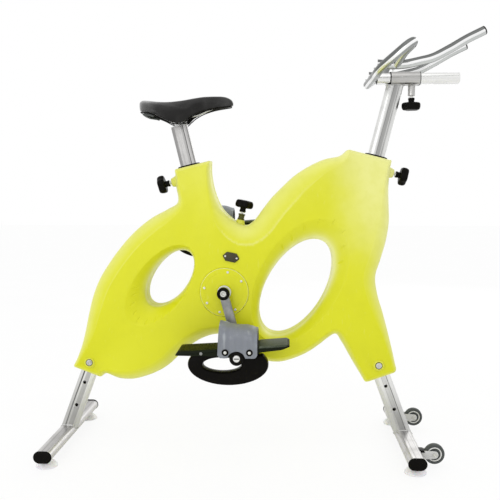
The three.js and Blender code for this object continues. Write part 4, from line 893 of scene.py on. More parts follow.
def piece(name: str, surface: Surface, finish: Finish, body: str, stands: str = "", slot: str = "") -> Object:
    """Makes one finished piece from a surface, with its map.

    Args:
        name: the piece's name.
        surface: its shape.
        finish: its material.
        body: the body it moves with.
        stands: the node it stands for, when its name isn't that node's with _skin.
        slot: not used.

    Returns:
        The object.
    """
    made = new_object(name, surface.points, surface.faces)
    layer = made.data.uv_layers.new(name="UVMap")
    flat = np.zeros((len(made.data.loops), 2), np.float32)
    flat[:surface.uv.shape[0] * 4] = surface.uv.reshape(-1, 2)
    layer.data.foreach_set("uv", flat.ravel())
    settle(made, finish, body, stands)
    return made


def tint(made: Object, pale: Array | float) -> None:
    """Stores the painted light on the lime plastic at each point, for its material."""
    values = np.broadcast_to(np.asarray(pale, np.float32), len(made.data.vertices))
    made.data.attributes.new("pale", "FLOAT", "POINT").data.foreach_set("value", values.copy())


def bake(made: Object) -> None:
    """Turns an object's live modifiers into its mesh.

    Args:
        made: the object.
    """
    bpy.context.view_layer.update()
    fixed = bpy.data.meshes.new_from_object(made.evaluated_get(bpy.context.evaluated_depsgraph_get()))
    made.modifiers.clear()
    old, made.data = made.data, fixed
    bpy.data.meshes.remove(old)
    fixed.name = made.name


def carve(made: Object, cutter: Surface, sharp: float) -> None:
    """Cuts a surface's space out of an object, shades it again and deletes the cutter.

    Args:
        made: the object to cut.
        cutter: the closed surface whose space goes.
        sharp: the angle in degrees above which an edge is shaded sharp.
    """
    tool = new_object("cutter", cutter.points, cutter.faces)
    cut = made.modifiers.new("cut", "BOOLEAN")
    cut.operation, cut.object, cut.solver = "DIFFERENCE", tool, "EXACT"
    bake(made)
    bpy.data.objects.remove(tool)
    smooth(made.data, sharp)


def face_out(made: Object) -> None:
    """Turns every face of a closed shape outwards.

    Args:
        made: the object with the shape.
    """
    work = bmesh.new()
    work.from_mesh(made.data)
    bmesh.ops.recalc_face_normals(work, faces=work.faces)
    work.to_mesh(made.data)
    work.free()


# Lime body

# The outline's corners: x and z, then shares of the shoulder's reach and of the thickness.
OUTLINE = np.array([
    [60, 193, 1.4, 1], [25, 209, 1.2, 1], [-10, 242, 0.7, 1], [-32, 290, 0.4, 0.84], [-42, 335, 0.3, 0.72],
    [-45, 385.1, 0.25, 0.62], [-149, 359.5, 0.25, 0.62], [-146, 310, 0.3, 0.76], [-141, 263, 0.5, 1],
    [-170, 243, 0.8, 1], [-215, 219, 1, 1], [-252, 192, 1, 1], [-288, 158, 1, 1], [-322, 118, 1, 1],
    [-353, 75, 1, 1], [-380, 30, 1, 1], [-400, -20, 1, 1], [-414, -75, 0.9, 1], [-425, -125, 0.8, 0.96],
    [-440, -175, 0.5, 0.76], [-466, -237.5, 0.25, 0.54], [-382, -268.7, 0.25, 0.54],
    [-364, -257, 0.4, 0.84], [-322, -270, 0.7, 1], [-280, -272, 0.8, 1], [-240, -262, 0.8, 1],
    [-200, -245, 0.8, 1], [-168, -224, 0.8, 1], [-145, -202, 0.8, 1], [-122, -181, 0.8, 1],
    [-96, -160, 0.8, 1], [-64, -142, 0.8, 1], [-30, -132, 0.7, 1], [4, -133, 0.6, 1], [36, -150, 0.5, 1],
    [64, -177, 0.5, 1], [92, -199, 0.5, 1], [125, -211, 0.5, 1], [165, -213, 0.5, 1], [205, -202, 0.5, 1],
    [245, -184, 0.5, 1], [280, -160, 0.5, 1], [306, -139, 0.5, 1], [328, -127, 0.45, 1],
    [346, -151, 0.45, 0.93], [376, -204, 0.35, 0.74], [419, -275.8, 0.25, 0.54], [513, -241, 0.25, 0.54],
    [500, -185, 0.35, 0.7], [486, -130, 0.5, 0.84], [468, -65, 0.7, 0.95], [450, -5, 0.8, 1],
    [444, 45, 0.9, 1], [458, 95, 0.9, 1], [473, 150, 0.9, 1], [481, 205, 0.8, 1], [480, 255, 0.6, 0.95],
    [479, 310, 0.4, 0.82], [486, 385, 0.25, 0.62], [360, 417, 0.25, 0.62], [340, 400, 0.5, 0.8],
    [290, 388, 0.9, 0.95], [245, 367, 1.1, 1], [205, 341, 1.3, 1], [168, 307, 1.4, 1], [135, 273, 1.4, 1],
    [108, 238, 1.4, 1], [86, 209, 1.4, 1],
])


def quarter(way: Array) -> Array:
    """A quarter ellipse's height: the root of one minus the square of one minus the way."""
    return np.sqrt(np.clip(1 - (1 - way) ** 2, 0, 1))


@dataclass(frozen=True)
class Window:
    """An oval window, the dish round it and the vents in the dish, in millimetres."""
    centre: Pair
    half: Pair
    lean: float
    grow: Pair
    shift: Pair
    steps: int
    vents: tuple[Pair, ...]

    @property
    def turn(self) -> Array:
        """The matrix that leans rows of x and z."""
        c, s = math.cos(math.radians(self.lean)), math.sin(math.radians(self.lean))
        return np.array([[c, s], [-s, c]])

    def ring(self, way: float) -> Array:
        """Points on the dish's oval a share of the way out from the window."""
        local = circle(1.0, self.steps) * (np.array(self.half) + way * np.array(self.grow))
        return (local + way * np.array(self.shift)) @ self.turn + self.centre

    def way(self, points: Array) -> Array:
        """How far out each point lies: 0 on the window's edge, 1 on the dish's.

        The ovals grow and shift evenly, so the share is halved down to the oval that
        passes through the point.

        Args:
            points: places in the side plane.

        Returns:
            The shares, from -0.3 to 1.3.
        """
        local = (points - np.array(self.centre)) @ self.turn.T
        low, high = np.full(len(points), -0.3), np.full(len(points), 1.3)
        for _ in range(26):
            mid = (low + high) / 2
            half = np.array(self.half) + mid[:, None] * np.array(self.grow)
            out = (((local - mid[:, None] * np.array(self.shift)) / half) ** 2).sum(1) > 1
            low, high = np.where(out, mid, low), np.where(out, high, mid)
        return (low + high) / 2

    def vent_lines(self) -> list[tuple[Array, Array]]:
        """Each vent's place and its two directions, out from the window and across."""
        outs = [(place, unit(np.array(place) - np.array(self.centre))) for place in self.vents]
        return [(np.array(place), np.array([out, [-out[1], out[0]]])) for place, out in outs]


@dataclass
class Body:
    """The hollow lime body with its bosses, covers, collars and small fittings."""
    half: float = 75.0
    rim_reach: float = 42.0
    rim_share: float = 0.42
    mouth_rim_share: float = 0.8
    mouth_reach: float = 26.0
    crease: float = 0.12
    spacing: float = 4.0
    grid: float = 7.0
    merge: float = 1.1
    mouths: tuple[int, ...] = (5, 20, 46, 58)
    mouth_corners: tuple[float, ...] = (7.0, 14.0, 4.5, 3.5)
    cover_radius: float = 71.0
    cover_seat: float = 4.0
    cover_thick: float = 5.0
    seam: float = 0.7
    walls: tuple[float, ...] = (-0.8, -0.55, -0.3, -0.05, -0.02, 0.02, 0.05, 0.3, 0.55, 0.8)
    vent: Triple = (17.0, 3.4, 1.6)
    shoulder_ways: tuple[float, ...] = (0.012, 0.04, 0.09, 0.17, 0.28, 0.42, 0.58, 0.76, 0.92, 1.0, 1.07)
    dish_ways: tuple[float, ...] = (0.02, 0.06, 0.12, 0.2, 0.3, 0.42, 0.55, 0.7, 0.85, 0.95, 1.0, 1.05)
    windows: tuple[Window, ...] = (
        Window((-167, 35), (100, 53), 52.3, (42, 21), (-28, 8), 170,
               ((-264, 11), (-269, -10), (-274, -38), (-267, -64), (-257, -84), (-234, -92), (-208, -86),
                (-185, -75), (-165, -63))),
        Window((209, 10), (160, 87), 60, (38, 32), (26, 2), 250,
               ((170, 132), (197, 160), (233, 189), (275, 208), (317, 206), (345, 176), (345, 133),
                (340, 89))))

    def mouth_ends(self) -> list[tuple[Array, Array]]:
        """The two corner rows of each mouth."""
        return [(OUTLINE[i], OUTLINE[(i + 1) % len(OUTLINE)]) for i in self.mouths]

    def edge(self) -> Array:
        """The outline as even steps.

        Smooth runs pass through the rows between the four mouths, the mouths' own
        edges are straight, and their corners are rounded with a parabola.

        Returns:
            Rows of x, z, shoulder share and thickness share.
        """
        count, ends = len(OUTLINE), self.mouth_ends()
        parts, corners = [], []
        for number, mouth in enumerate(self.mouths):
            after, (start, end) = self.mouths[(number + 1) % 4], ends[(number + 1) % 4]
            picks = np.arange(mouth + 1, after + 1 + (count if after < mouth else 0)) % count
            parts += [spline(OUTLINE[picks], 12), np.linspace(start, end, 32)[1:-1]]
            corners += [(start, self.mouth_corners[number]), (end, self.mouth_corners[number])]
        line = np.concatenate(parts)
        for corner, reach in corners:
            near = np.linalg.norm(line[:, :2] - corner[:2], axis=1) < reach
            start = int(np.argmax(near & ~np.roll(near, 1)))
            line, last = np.roll(line, -start, 0), int(near.sum())
            curve = parabola(line[0], corner, line[last], np.linspace(0, 1, 9)[:, None])
            line = np.concatenate([curve, line[last + 1:]])
        closed = np.concatenate([line, line[:1]])
        way = np.concatenate([[0], np.cumsum(np.linalg.norm(np.diff(closed[:, :2], axis=0), axis=1))])
        steps = np.linspace(0, way[-1], int(way[-1] / self.spacing), endpoint=False)
        return np.stack([np.interp(steps, way, closed[:, i]) for i in range(4)], 1)

    def measure(self, points: Array, edge: Array) -> tuple[Array, Array, Array, Array]:
        """Distance to the outline, and the shares there.

        Each share is the mean of the outline's own, weighted by the inverse fourth power
        of distance. The rim's share eases to the mouths' own near a mouth.

        Args:
            points: places in the side plane.
            edge: the outline from edge().

        Returns:
            Distance to the outline, and shoulder, thickness and rim shares.
        """
        a, b = edge[:, :2], np.roll(edge[:, :2], -1, 0)
        span, knots = b - a, edge[::3]
        found = []
        for part in np.array_split(points, max(1, len(points) // 2000)):
            t = np.clip(((part[:, None] - a) * span).sum(2) / (span ** 2).sum(1), 0, 1)
            near = np.linalg.norm(part[:, None] - (a + t[..., None] * span), axis=2).min(1)
            weight = 1 / (((part[:, None] - knots[:, :2]) ** 2).sum(2) + 60) ** 2
            shares = weight @ knots[:, 2:] / weight.sum(1, keepdims=True)
            mouth = np.full(len(part), np.inf)
            for start, end in self.mouth_ends():
                p, way = start[:2], end[:2] - start[:2]
                s = np.clip((part - p) @ way / (way @ way), 0, 1)
                mouth = np.minimum(mouth, np.linalg.norm(part - p - s[:, None] * way, axis=1))
            ease = np.clip(1 - mouth / self.mouth_reach, 0, 1)
            rim = self.rim_share + (self.mouth_rim_share - self.rim_share) * ease ** 2 * (3 - 2 * ease)
            found.append(np.column_stack([near, shares, rim]))
        return tuple(np.concatenate(found).T)

    def thickness(self, points: Array, edge: Array) -> tuple[Array, Array]:
        """Half thickness of the body, and the painted light on it, at places in the side plane.

        The shoulder climbs from the rim by a quarter ellipse plus a straight slope that
        ends in a crease. Each dish climbs from its window in the same way. The lower of
        the two holds, and the cover's recess and the vents are sunk into it.

        Args:
            points: places in the side plane.
            edge: the outline from edge().

        Returns:
            The half thicknesses and the painted light.
        """
        distance, shoulder, thick, rim = self.measure(points, edge)
        climb = distance / (self.rim_reach * shoulder)
        u, slope = np.clip(climb, 0, 1), self.crease / (1 - self.rim_share)
        height = self.half * thick * (rim + (1 - rim) * ((1 - slope) * quarter(u) + slope * u))
        # Painted highlight along the rounded rim, fading up the shoulder, and a thin painted highlight along
        # the shoulder's crease.
        pale = 0.46 * (1 - u) ** 0.6 * (u < 1)
        pale = pale + 0.5 * np.clip(shoulder - 0.5, 0, 0.9) * np.exp(-((climb - 1) / 0.06) ** 2)
        for window in self.windows:
            way = np.clip(window.way(points), 0, 1)
            height = np.minimum(height, self.half * thick * (0.5 + 0.5 * (0.5 * quarter(way) + 0.5 * way)))
            # Painted light round each window, stronger on its upper side, as if lit from above.
            upper = np.clip(0.5 + (points[:, 1] - window.centre[1]) / 120, 0, 1)
            pale = np.maximum(pale, np.exp(-way * 4.5) * (0.25 + 1.05 * upper))
            length, width, depth = self.vent
            for place, lines in window.vent_lines():
                local = (points - place) @ lines.T * [2 / length, 2 / width]
                fall = np.clip(1.3 - np.hypot(*local.T), 0, 1)
                height = height - depth * np.clip(fall * 2, 0, 1)
                # Painted shade in the vents: their painted light drops away.
                pale = np.where(fall > 0, np.maximum(pale - fall, -0.4), pale)
        sunk = np.hypot(*points.T) < self.cover_radius + GAP
        return np.where(sunk, self.half - self.cover_seat, height), pale

    def sites(self, edge: Array) -> tuple[list[Array], Array]:
        """Places to sample the cheek at.

        They follow the outline inwards, the dishes outwards, the cover's recess, the
        vents and a plain grid between them. Places that nearly coincide are dropped.

        Args:
            edge: the outline from edge().

        Returns:
            The loops of the outline and the windows, and the free points.
        """
        line, out, free = edge[:, :2], normals(edge[:, :2]), []
        for share in self.shoulder_ways:
            reach = share * self.rim_reach * edge[:, 2:3]
            ring = line - out * reach
            free.append(ring[self.measure(ring, edge)[0] > 0.96 * reach[:, 0]])
        for window in self.windows:
            free += [window.ring(way) for way in self.dish_ways]
        recess = self.cover_radius + GAP
        free += [circle(radius, 180) for radius in (68, recess - 0.2, recess + 0.3, 74)]
        length, width, _ = self.vent
        u, v = np.meshgrid(np.linspace(-12, 12, 21), np.linspace(-width, width, 9))
        patch = np.column_stack([u.ravel(), v.ravel()])
        for window in self.windows:
            free += [place + patch @ lines for place, lines in window.vent_lines()]
        low, high = line.min(0), line.max(0)
        x, z = np.meshgrid(np.arange(low[0], high[0], self.grid), np.arange(low[1], high[1], self.grid))
        plain = np.stack([x.ravel(), z.ravel()], 1)
        for window in self.windows:
            plain = plain[window.way(plain) > 1.08]
        points = np.concatenate([*free, plain])
        keep = self.inside(points, line) & (self.measure(points, edge)[0] > 0.35)
        for window in self.windows:
            keep &= window.way(points) > 0.008
        points = points[keep]
        _, first = np.unique(np.round(points / self.merge).astype(int), axis=0, return_index=True)
        return [line, *(window.ring(0.0) for window in self.windows)], points[np.sort(first)]

    @staticmethod
    def inside(points: Array, line: Array) -> Array:
        """Whether each point is inside a closed line, by the crossings of a ray along +X.

        Args:
            points: places in the side plane.
            line: the closed line.

        Returns:
            True for the points inside.
        """
        a, b = line, np.roll(line, -1, 0)
        rise = np.where(b[:, 1] == a[:, 1], 1, b[:, 1] - a[:, 1])
        result = []
        for part in np.array_split(points, max(1, len(points) // 4000)):
            x, z = part[:, :1], part[:, 1:]
            cross = (a[:, 1] > z) != (b[:, 1] > z)
            at = a[:, 0] + (z - a[:, 1]) * (b[:, 0] - a[:, 0]) / rise
            result.append((cross & (x < at)).sum(1) % 2 == 1)
        return np.concatenate(result)

    def build_shell(self) -> None:
        """Both cheeks, the rim and the window walls as one closed surface, cut for its tubes.

        The right cheek is a mesh over the side plane, the left one is its mirror image,
        and each loop is joined to its mirror image by a wall with a raised seam.
        """
        edge = self.edge()
        loops, free = self.sites(edge)
        starts = np.cumsum([0, *(len(loop) for loop in loops)])
        numbers = [np.arange(len(loop)) + first for loop, first in zip(loops, starts)]
        fences = np.concatenate([np.stack([ids, np.roll(ids, -1)], 1) for ids in numbers])
        found = delaunay_2d_cdt(np.concatenate([*loops, free]).tolist(), fences.tolist(), [], 0, 1e-4)
        flat, faces = np.array([tuple(p) for p in found[0]]), np.array(found[2])
        middle = flat[faces].mean(1)
        keep = self.inside(middle, loops[0])
        for loop in loops[1:]:
            keep &= ~self.inside(middle, loop)
        faces, (height, pale) = faces[keep], self.thickness(flat, edge)
        count, total = len(flat), 2 * len(flat)
        right = np.stack([flat[:, 0], -height, flat[:, 1]], 1)
        points, quads, tone = [right, right * [1, -1, 1]], [faces, faces[:, ::-1] + count], [pale, pale]
        rows = np.array(self.walls)
        ridge = np.where(np.abs(rows) < 0.03, self.seam, 0)
        for ids, loop, way in zip(numbers, loops, (1, -1, -1)):
            plan = loop[None] + way * normals(loop)[None] * ridge[:, None, None]
            level = rows[:, None] * height[ids][None]
            points.append(np.stack([plan[..., 0], level, plan[..., 1]], 2).reshape(-1, 3))
            # The walls take four fifths of the painted light at their edge.
            tone.append(np.tile(pale[ids] * 0.8, len(rows)))
            grid = total + np.arange(len(rows) * len(loop)).reshape(-1, len(loop))
            grid = np.concatenate([ids[None], grid, ids[None] + count])
            a, b = grid[:-1], grid[1:]
            quads.append(np.stack([a, np.roll(a, -1, 1), np.roll(b, -1, 1), b], -1).reshape(-1, 4))
            total += len(points[-1])
        listed = [face for part in quads for face in part.tolist()]
        made = new_object("body_shell_skin", np.concatenate(points), listed, 50)
        tint(made, np.concatenate(tone))
        face_out(made)
        carve(made, self.pockets(), 50)
        settle(made, Finish.SHELL, "frame")

    @staticmethod
    def pockets() -> Surface:
        """The four sockets that the tubes slide in, each by its mouth, its way out and its depth.

        Returns:
            All four as one cutter.
        """
        sockets = ((SEAT_COLLAR, SEAT_UP, 310), (BAR_COLLAR, BAR_UP, 285),
                   (REAR_BOLT - REAR_UP * 38, -REAR_UP, 300), (FRONT_BOLT - FRONT_UP * 38, -FRONT_UP, 300))
        return join(*(extruded(oval(1, 10), deep + 40, 0.1, 1).laid(along(mouth - up * deep, up))
                      for mouth, up, deep in sockets))

    def build_bosses(self) -> None:
        """Round bosses for the clamp screws, the tension screw and the leg bolts."""
        clamp = [(22, 34), (19.5, 45), (16, 51), (14, 57), (12, 63), (4.5, 63)]
        tension = [(20, 0), (17, 12), (13, 21), (12, 28.4), (4.5, 28.4)]
        bolt = [(20, 0), (17, 9), (14, 13), (14, 15), (4.5, 15)]
        bosses = [(f"{name}_clamp_boss", clamp, along(foot, out)) for name, foot, out in CLAMPS]
        bosses.append(("tension_boss", tension, along(TENSION_UP * 186, TENSION_UP)))
        bosses += [(f"{name}_bolt_boss_{hand}", bolt, outward(side, place, LEG_BOSS - 15))
                   for name, place in LEG_BOLTS for hand, side in SIDES]
        for name, rows, axes in bosses:
            # The bosses take a little painted light all over.
            tint(piece(name, turned(rows, 2.0, 40).laid(axes), Finish.SHELL, "frame"), 0.25)

    def build_covers(self) -> None:
        """The round covers with their screws, and the bearing housings."""
        disc = [(20.7, 0), (71, 0), (71, 4.2), (70, 5), (58, 5), (56.6, 4.5), (55.2, 5), (30, 5), (28, 5.5),
                (20.7, 5.5)]
        housing = [(14.5, -8), (20.2, -8), (20.2, 4), (19.3, 5.2), (14.5, 5.2)]
        face = self.half - self.cover_seat + GAP + self.cover_thick
        for hand, side in SIDES:
            cover = turned(disc, 0.6, 128, True).laid(outward(side, (0, 0), face - self.cover_thick))
            made = piece(f"cover_disc_{hand}_skin", cover, Finish.SHELL, "frame")
            places = np.array([v.co for v in made.data.vertices]) / MM - SHIFT
            # A painted highlight round the cover's outer edge.
            tint(made, np.where(np.hypot(places[:, 0], places[:, 2]) > 69.8, 0.7, 0.0))
            ring = turned(housing, 0.5, 64, True).laid(outward(side, (0, 0), face))
            piece(f"bearing_housing_{hand}_skin", ring, Finish.WHITE, "frame")
            heads = [pan_head(3.7).laid(outward(side, 60 * leaning(angle), face))
                     for angle in (10, 56.5, 147.5, 193, 238, -78)]
            piece(f"cover_screws_{hand}", join(*heads), Finish.BRIGHT, "frame")

    def build_plate(self) -> None:
        """The small black plate above the cover with its two screws."""
        plate = fillet([[-25, 0], [-14.5, -13.5], [14.5, -13.5], [25, 0], [14.5, 13.5], [-14.5, 13.5]], 2)
        s, c = leaning(-11.4)
        lay = outward(-1, (20, 103.5), self.half - 1)
        tilt = Axes(lay.origin, lay.x * c + lay.y * s, lay.y * c - lay.x * s, lay.z)
        piece("fixing_plate", extruded(plate, 4, 1.2).laid(tilt), Finish.PLATE, "frame")
        heads = join(*(pan_head(2.9).laid(tilt.moved(x, 0, 4)) for x in (-17, 17)))
        piece("fixing_plate_screws", heads, Finish.BRIGHT, "frame")

    def build_collars(self) -> None:
        """The black plates on top of the towers and the olive collar under the brake knob."""
        outer, inner = stadium(68, 48, 16), oval(1, 16)
        levels = ((outer, 0, 0), (outer, 0, 3), (outer, 0.8, 4.4), (outer, 2.4, 5), (inner, -1.4, 5),
                  (inner, 0, 4), (inner, 0, 0))
        for name, place, up in COLLARS:
            piece(f"{name}_collar_skin", stepped(levels, True).laid(along(place + up * GAP, up)),
                  Finish.BLACK, "frame", f"{name}_collar_plate")
        start = TENSION_UP * (np.linalg.norm(TENSION) + 5 + GAP)
        rows = [(4.5, 0), (10, 0), (10, 4), (8.6, 5), (8.6, 13), (10, 14), (10, 18), (4.5, 18)]
        collar = turned(rows, 0.5, 48, True, lobes(8, 0.035, 48)).laid(along(start, TENSION_UP))
        piece("tension_collar_skin", collar, Finish.OLIVE, "frame")

    def build_leg_bolts(self) -> None:
        """Leg bolts with washers and a hexagon socket on the near side, and nuts on the far side."""
        head = [(4, -38), (4, 0), (6.8, 0), (6.8, 3.2), (5.8, 4.2), (3.7, 4.2), (3.3, 1.8), (0.1, 1.6)]
        washer = turned([(4.2, 0), (8.8, 0), (8.8, 1.2), (4.2, 1.2)], 0.4, 32, True)
        seal = turned([(8.9, -0.3), (10.4, -0.3), (10.4, 1.2), (8.9, 1.2)], 0.3, 40, True)
        angle = np.linspace(0, 2 * np.pi, 24, endpoint=False)
        hexagon = 1 / np.cos((angle + np.pi / 6) % (np.pi / 3) - np.pi / 6)
        nut = [(9.5, 0), (9.5, 5.2), (8.2, 6), (4.4, 6), (4, 8), (0.1, 8)]
        for name, place in LEG_BOLTS:
            near, far = outward(-1, place, LEG_BOSS + GAP), outward(1, place, LEG_BOSS + 1.3)
            piece(f"{name}_leg_bolt_skin", turned(head, 0.5, 32).laid(near), Finish.SCREW, "frame")
            piece(f"{name}_leg_seal", seal.laid(near), Finish.BLACK, "frame")
            bolt_end = turned(nut, 0.4, 24, wave=hexagon / hexagon.max())
            piece(f"{name}_leg_nut", bolt_end.laid(far), Finish.SCREW, "frame")
            rings = join(*(washer.laid(outward(side, place, LEG_BOSS)) for _, side in SIDES))
            piece(f"{name}_leg_washers", rings, Finish.BRIGHT, "frame")

    def build(self) -> None:
        """The whole body."""
        self.build_shell()
        self.build_bosses()
        self.build_covers()
        self.build_plate()
        self.build_collars()
        self.build_leg_bolts()


# Cranks and pedals

@dataclass
class Drive:
    """The two cranks with their pedals."""
    length: float = 170.0
    angle: float = 15.5
    inner: float = 94.0
    thick: float = 13.0
    width: float = 26.0
    hub: float = 18.5

    def build_crank(self, hand: str, side: int) -> Array:
        """One arm with its spindle, its black cap and its bolt.

        Args:
            hand: right or left.
            side: -1 for the right, 1 for the left.

        Returns:
            The pedal's axis in the side plane.
        """
        place = side * self.length * leaning(-self.angle)
        down = unit(place)
        eye = arc(self.width / 2, -90, 90, 20) + [self.length, 0]
        shape = np.concatenate([arc(self.hub, 48, 312, 30), eye])
        plan = mirrored(shape @ np.array([down, [-down[1], down[0]]]), side)
        arm = extruded(plan, self.thick, 2.6, 4).laid(outward(side, (0, 0), self.inner))
        pin = turned([(7, -4), (7, 103), (5, 104.7), (0.1, 104.7)], 0.6, 24)
        pin = pin.laid(outward(side, place, self.inner + self.thick))
        piece(f"crank_arm_{hand}_skin", join(arm, pin), Finish.CRANK, "crank")
        face = outward(side, (0, 0), self.inner + self.thick + GAP)
        cap = turned([(10.5, 0), (18.5, 0), (18.5, 4.5), (16.8, 7), (12, 7), (10.5, 5.6)], 0.9, 48, True)
        piece(f"crank_cap_{hand}_skin", cap.laid(face), Finish.BLACK, "crank")
        bolt = turned([(10, 0.2), (10, 4.2), (8.4, 5.4), (5.2, 5.4), (4.6, 2.4), (0.1, 2.2)], 0.6, 48,
                      wave=lobes(12, 0.03, 48))
        piece(f"crank_bolt_{hand}", bolt.laid(face), Finish.SCREW, "crank")
        return place

    def build(self) -> None:
        """Both sides."""
        for hand, side in SIDES:
            Pedal(hand, side, self.build_crank(hand, side)).build()


@dataclass
class Pedal:
    """One pedal: keel ring with its barrel, ribbed foot plate and toe strap."""
    hand: str
    side: int
    axis: Array
    middle: float = 165.0
    width: float = 95.0
    ring_top: float = 3.3
    sole: tuple[Pair, ...] = (
        (-0.545, 0.03), (-0.12, 0), (0.06, 0), (0.2, 0.36), (0.395, 0.56), (0.468, 0.84), (0.445, 0.98),
        (0.19, 0.8), (-0.12, 0.6), (-0.52, 0.375))
    sole_size: Pair = (316, 36)
    sole_low: float = 4.0
    rib_gap: float = 8.6
    rib_ends: Pair = (-153.2, 56)
    rib_width: float = 84.0
    strap_length: float = 106.0
    strap_height: float = 94.0
    strap_thick: float = 4.0
    folds: tuple[Triple, ...] = (
        (0.16, 0.025, 1.8), (0.86, 0.025, 1.6), (0.27, 0.03, -1.8), (0.4, 0.035, 1.4), (0.62, 0.03, -1.7),
        (0.73, 0.03, 1.0))

    def __post_init__(self) -> None:
        """Works out where the pedal stands, and the corners of its foot plate."""
        self.lay = outward(self.side, self.axis, self.middle)
        self.corners = np.array(self.sole) * self.sole_size + [0, self.sole_low]

    def add(self, name: str, surface: Surface, finish: Finish, **more: str) -> Object:
        """Makes one piece of this pedal, in its own place.

        Args:
            name: the piece's name, which takes the hand before any _skin.
            surface: its shape, from the pedal's middle.
            finish: its finish.
            more: words passed on to piece, such as the solid it stands for where it differs.

        Returns:
            The object.
        """
        base = name.removesuffix("_skin")
        full, body = f"{base}_{self.hand}{name[len(base):]}", f"pedal_{self.hand}"
        return piece(full, surface.laid(self.lay), finish, body, **more)

    def bar(self, outline: Array, length: float, edge: float, steps: int) -> Surface:
        """An outline of the pedal's side, carried across its width about the middle."""
        return extruded(mirrored(outline, self.side), length, edge, steps, -length / 2)

    def build_body(self) -> None:
        """The keel ring with its barrel, and the barrel's bright cap with its slot."""
        ring, hole = circle(0.5, 96) * [228, 118] + [-27, -27], circle(0.5, 96) * [108, 40] + [-44, -27]
        ring[:, 1] = np.minimum(ring[:, 1], self.ring_top)
        outer, inner = mirrored(ring, self.side), mirrored(hole, self.side)
        rise, sink = ((6, -17), (1.6, -14.5), (0, -8)), ((-5, 17), (-1.4, 14), (0, 8))
        keel = stepped(tuple((edge, draw, way * z) for edge, rows in ((outer, rise), (inner, sink))
                             for way in (1, -1) for draw, z in rows[::way]), True)
        barrel = turned([(8, -47.5), (19, -47.5), (20, -46.5), (20, 46), (20, 52), (18, 55.5), (11.2, 55.5),
                         (10.2, 53), (8, 53)], 0.8, 48, True)
        flat = barrel.points[:, 2] < 47.6
        barrel.points[flat, 1] = np.minimum(barrel.points[flat, 1], 3.4)
        self.add("pedal_body_skin", join(keel, barrel), Finish.BLACK)
        cap = turned([(9.8, 51), (9.8, 54.2), (8.8, 55.2), (0.1, 55.2)], 0.5, 32)
        self.add("pedal_cap", cap, Finish.BRIGHT)
        slot = fillet([[-7, -1.2], [7, -1.2], [7, 1.2], [-7, 1.2]], 0.8, 2)
        self.add("pedal_cap_slot", extruded(slot, 1.2, 0.3, 1, 54.7), Finish.BLACK)

    def build_plate(self) -> None:
        """The foot plate with its screw, cross ribs on its slope and a grip pad."""
        sole = fillet(self.corners, np.array([4.5, 20, 30, 30, 8, 5, 6, 50, 60, 4]), 6)
        self.add("foot_plate_skin", self.bar(sole, self.width, 2.2, 4), Finish.TREAD)
        screw = pan_head(4.4)
        screw.points += [99 * self.side, 12, self.width / 2]
        self.add("plate_screw", screw, Finish.CRANK, slot="stainless")
        top = self.corners[[9, 8, 7, 6]]
        rib = fillet([[-1.9, -1.4], [1.9, -1.4], [1.3, 0.75], [-1.3, 0.75]], 0.5, 2)
        ribs = (self.bar(rib + [x, np.interp(x, *top.T)], self.rib_width, 0.5, 1)
                for x in np.arange(*self.rib_ends, self.rib_gap))
        self.add("foot_ribs", join(*ribs), Finish.TREAD)
        pad = np.array([[60, -5], [136, -5], [140, 0], [137, 1.1], [62, 0.9]])
        pad[:, 1] += np.interp(pad[:, 0], *top.T)
        self.add("foot_grip", self.bar(fillet(pad, 1.0, 2), 95.8, 1.0, 2), Finish.GRIP)

    def build_strap(self) -> None:
        """The arched grey toe strap, with raised ribs, a thick hem and two rivets.

        Each cross section is an arch: across follows the cosine and up the sine. Its
        height eases forward, and the hems and folds are bell curves along the strap.
        """
        half = self.width / 2 + GAP
        inside, outside = half + 0.3, half + self.strap_thick
        t = np.linspace(0, np.pi, 41)
        side, level = np.abs(np.cos(t)) ** 0.5, 0.58 + 0.42 * np.sin(t)
        rows = []
        for way in np.linspace(0, 1, 43):
            rise = self.strap_height * float(np.interp(way, [0, 0.5, 1], [1, 0.93, 0.83]))
            rise += 2.2 * math.sin(9.5 * way + 0.8)
            hem = 1.3 * sum(math.exp(-(end / 0.04) ** 2) for end in (way, 1 - way))
            rib = sum(deep * math.exp(-((way - at) / wide) ** 2) for at, wide, deep in self.folds)
            grow = hem + rib * side * (0.75 + 0.25 * np.sin(3 * t + 7 * way))
            outer = np.stack([(outside + grow) * np.cos(t), (rise + grow) * level], 1)
            inner = np.stack([inside * np.cos(t), (rise - self.strap_thick) * level], 1)[::-1]
            x = 4 + self.strap_length * (way - 0.5)
            foot = 1 + 9 * max(0.0, (abs(2 * way - 1) - 0.84) / 0.16) ** 2
            notch = max(foot, math.sqrt(24.0 ** 2 - x ** 2) - 4) if abs(x) < 24 else foot
            wide = outside + hem + rib
            section = np.concatenate([[[wide, notch]], outer, [[-wide, notch], [-inside, notch]],
                                      inner, [[inside, notch]]])
            lean = -4.5 * (1 - way) ** 3 * (1 - section[:, 1] / self.strap_height)
            rows.append(np.column_stack([-self.side * (x + lean), section[:, 1], section[:, 0]]))
        face_out(self.add("toe_strap_skin", skin(np.stack(rows)), Finish.GREY))
        washer = turned([(4, -1), (9.4, -1), (9.4, 1.8), (7.6, 3), (4, 3)], 0.6, 32, True)
        stud = turned([(4.6, -1), (4.6, 3.2), (3.2, 4.4), (0.1, 4.6)], 0.5, 24)
        base = Axes(np.zeros(3), *np.eye(3))
        seats = [base.moved(-self.side * x, 17, way * (outside + 0.2), way)
                 for x in (-31.5, 35.5) for way in (1, -1)]
        self.add("strap_washers", join(*(washer.laid(seat) for seat in seats)), Finish.BLACK)
        self.add("strap_rivets", join(*(stud.laid(seat) for seat in seats)), Finish.SCREW)

    def build(self) -> None:
        """The whole pedal."""
        self.build_body()
        self.build_plate()
        self.build_strap()


# Hand knobs

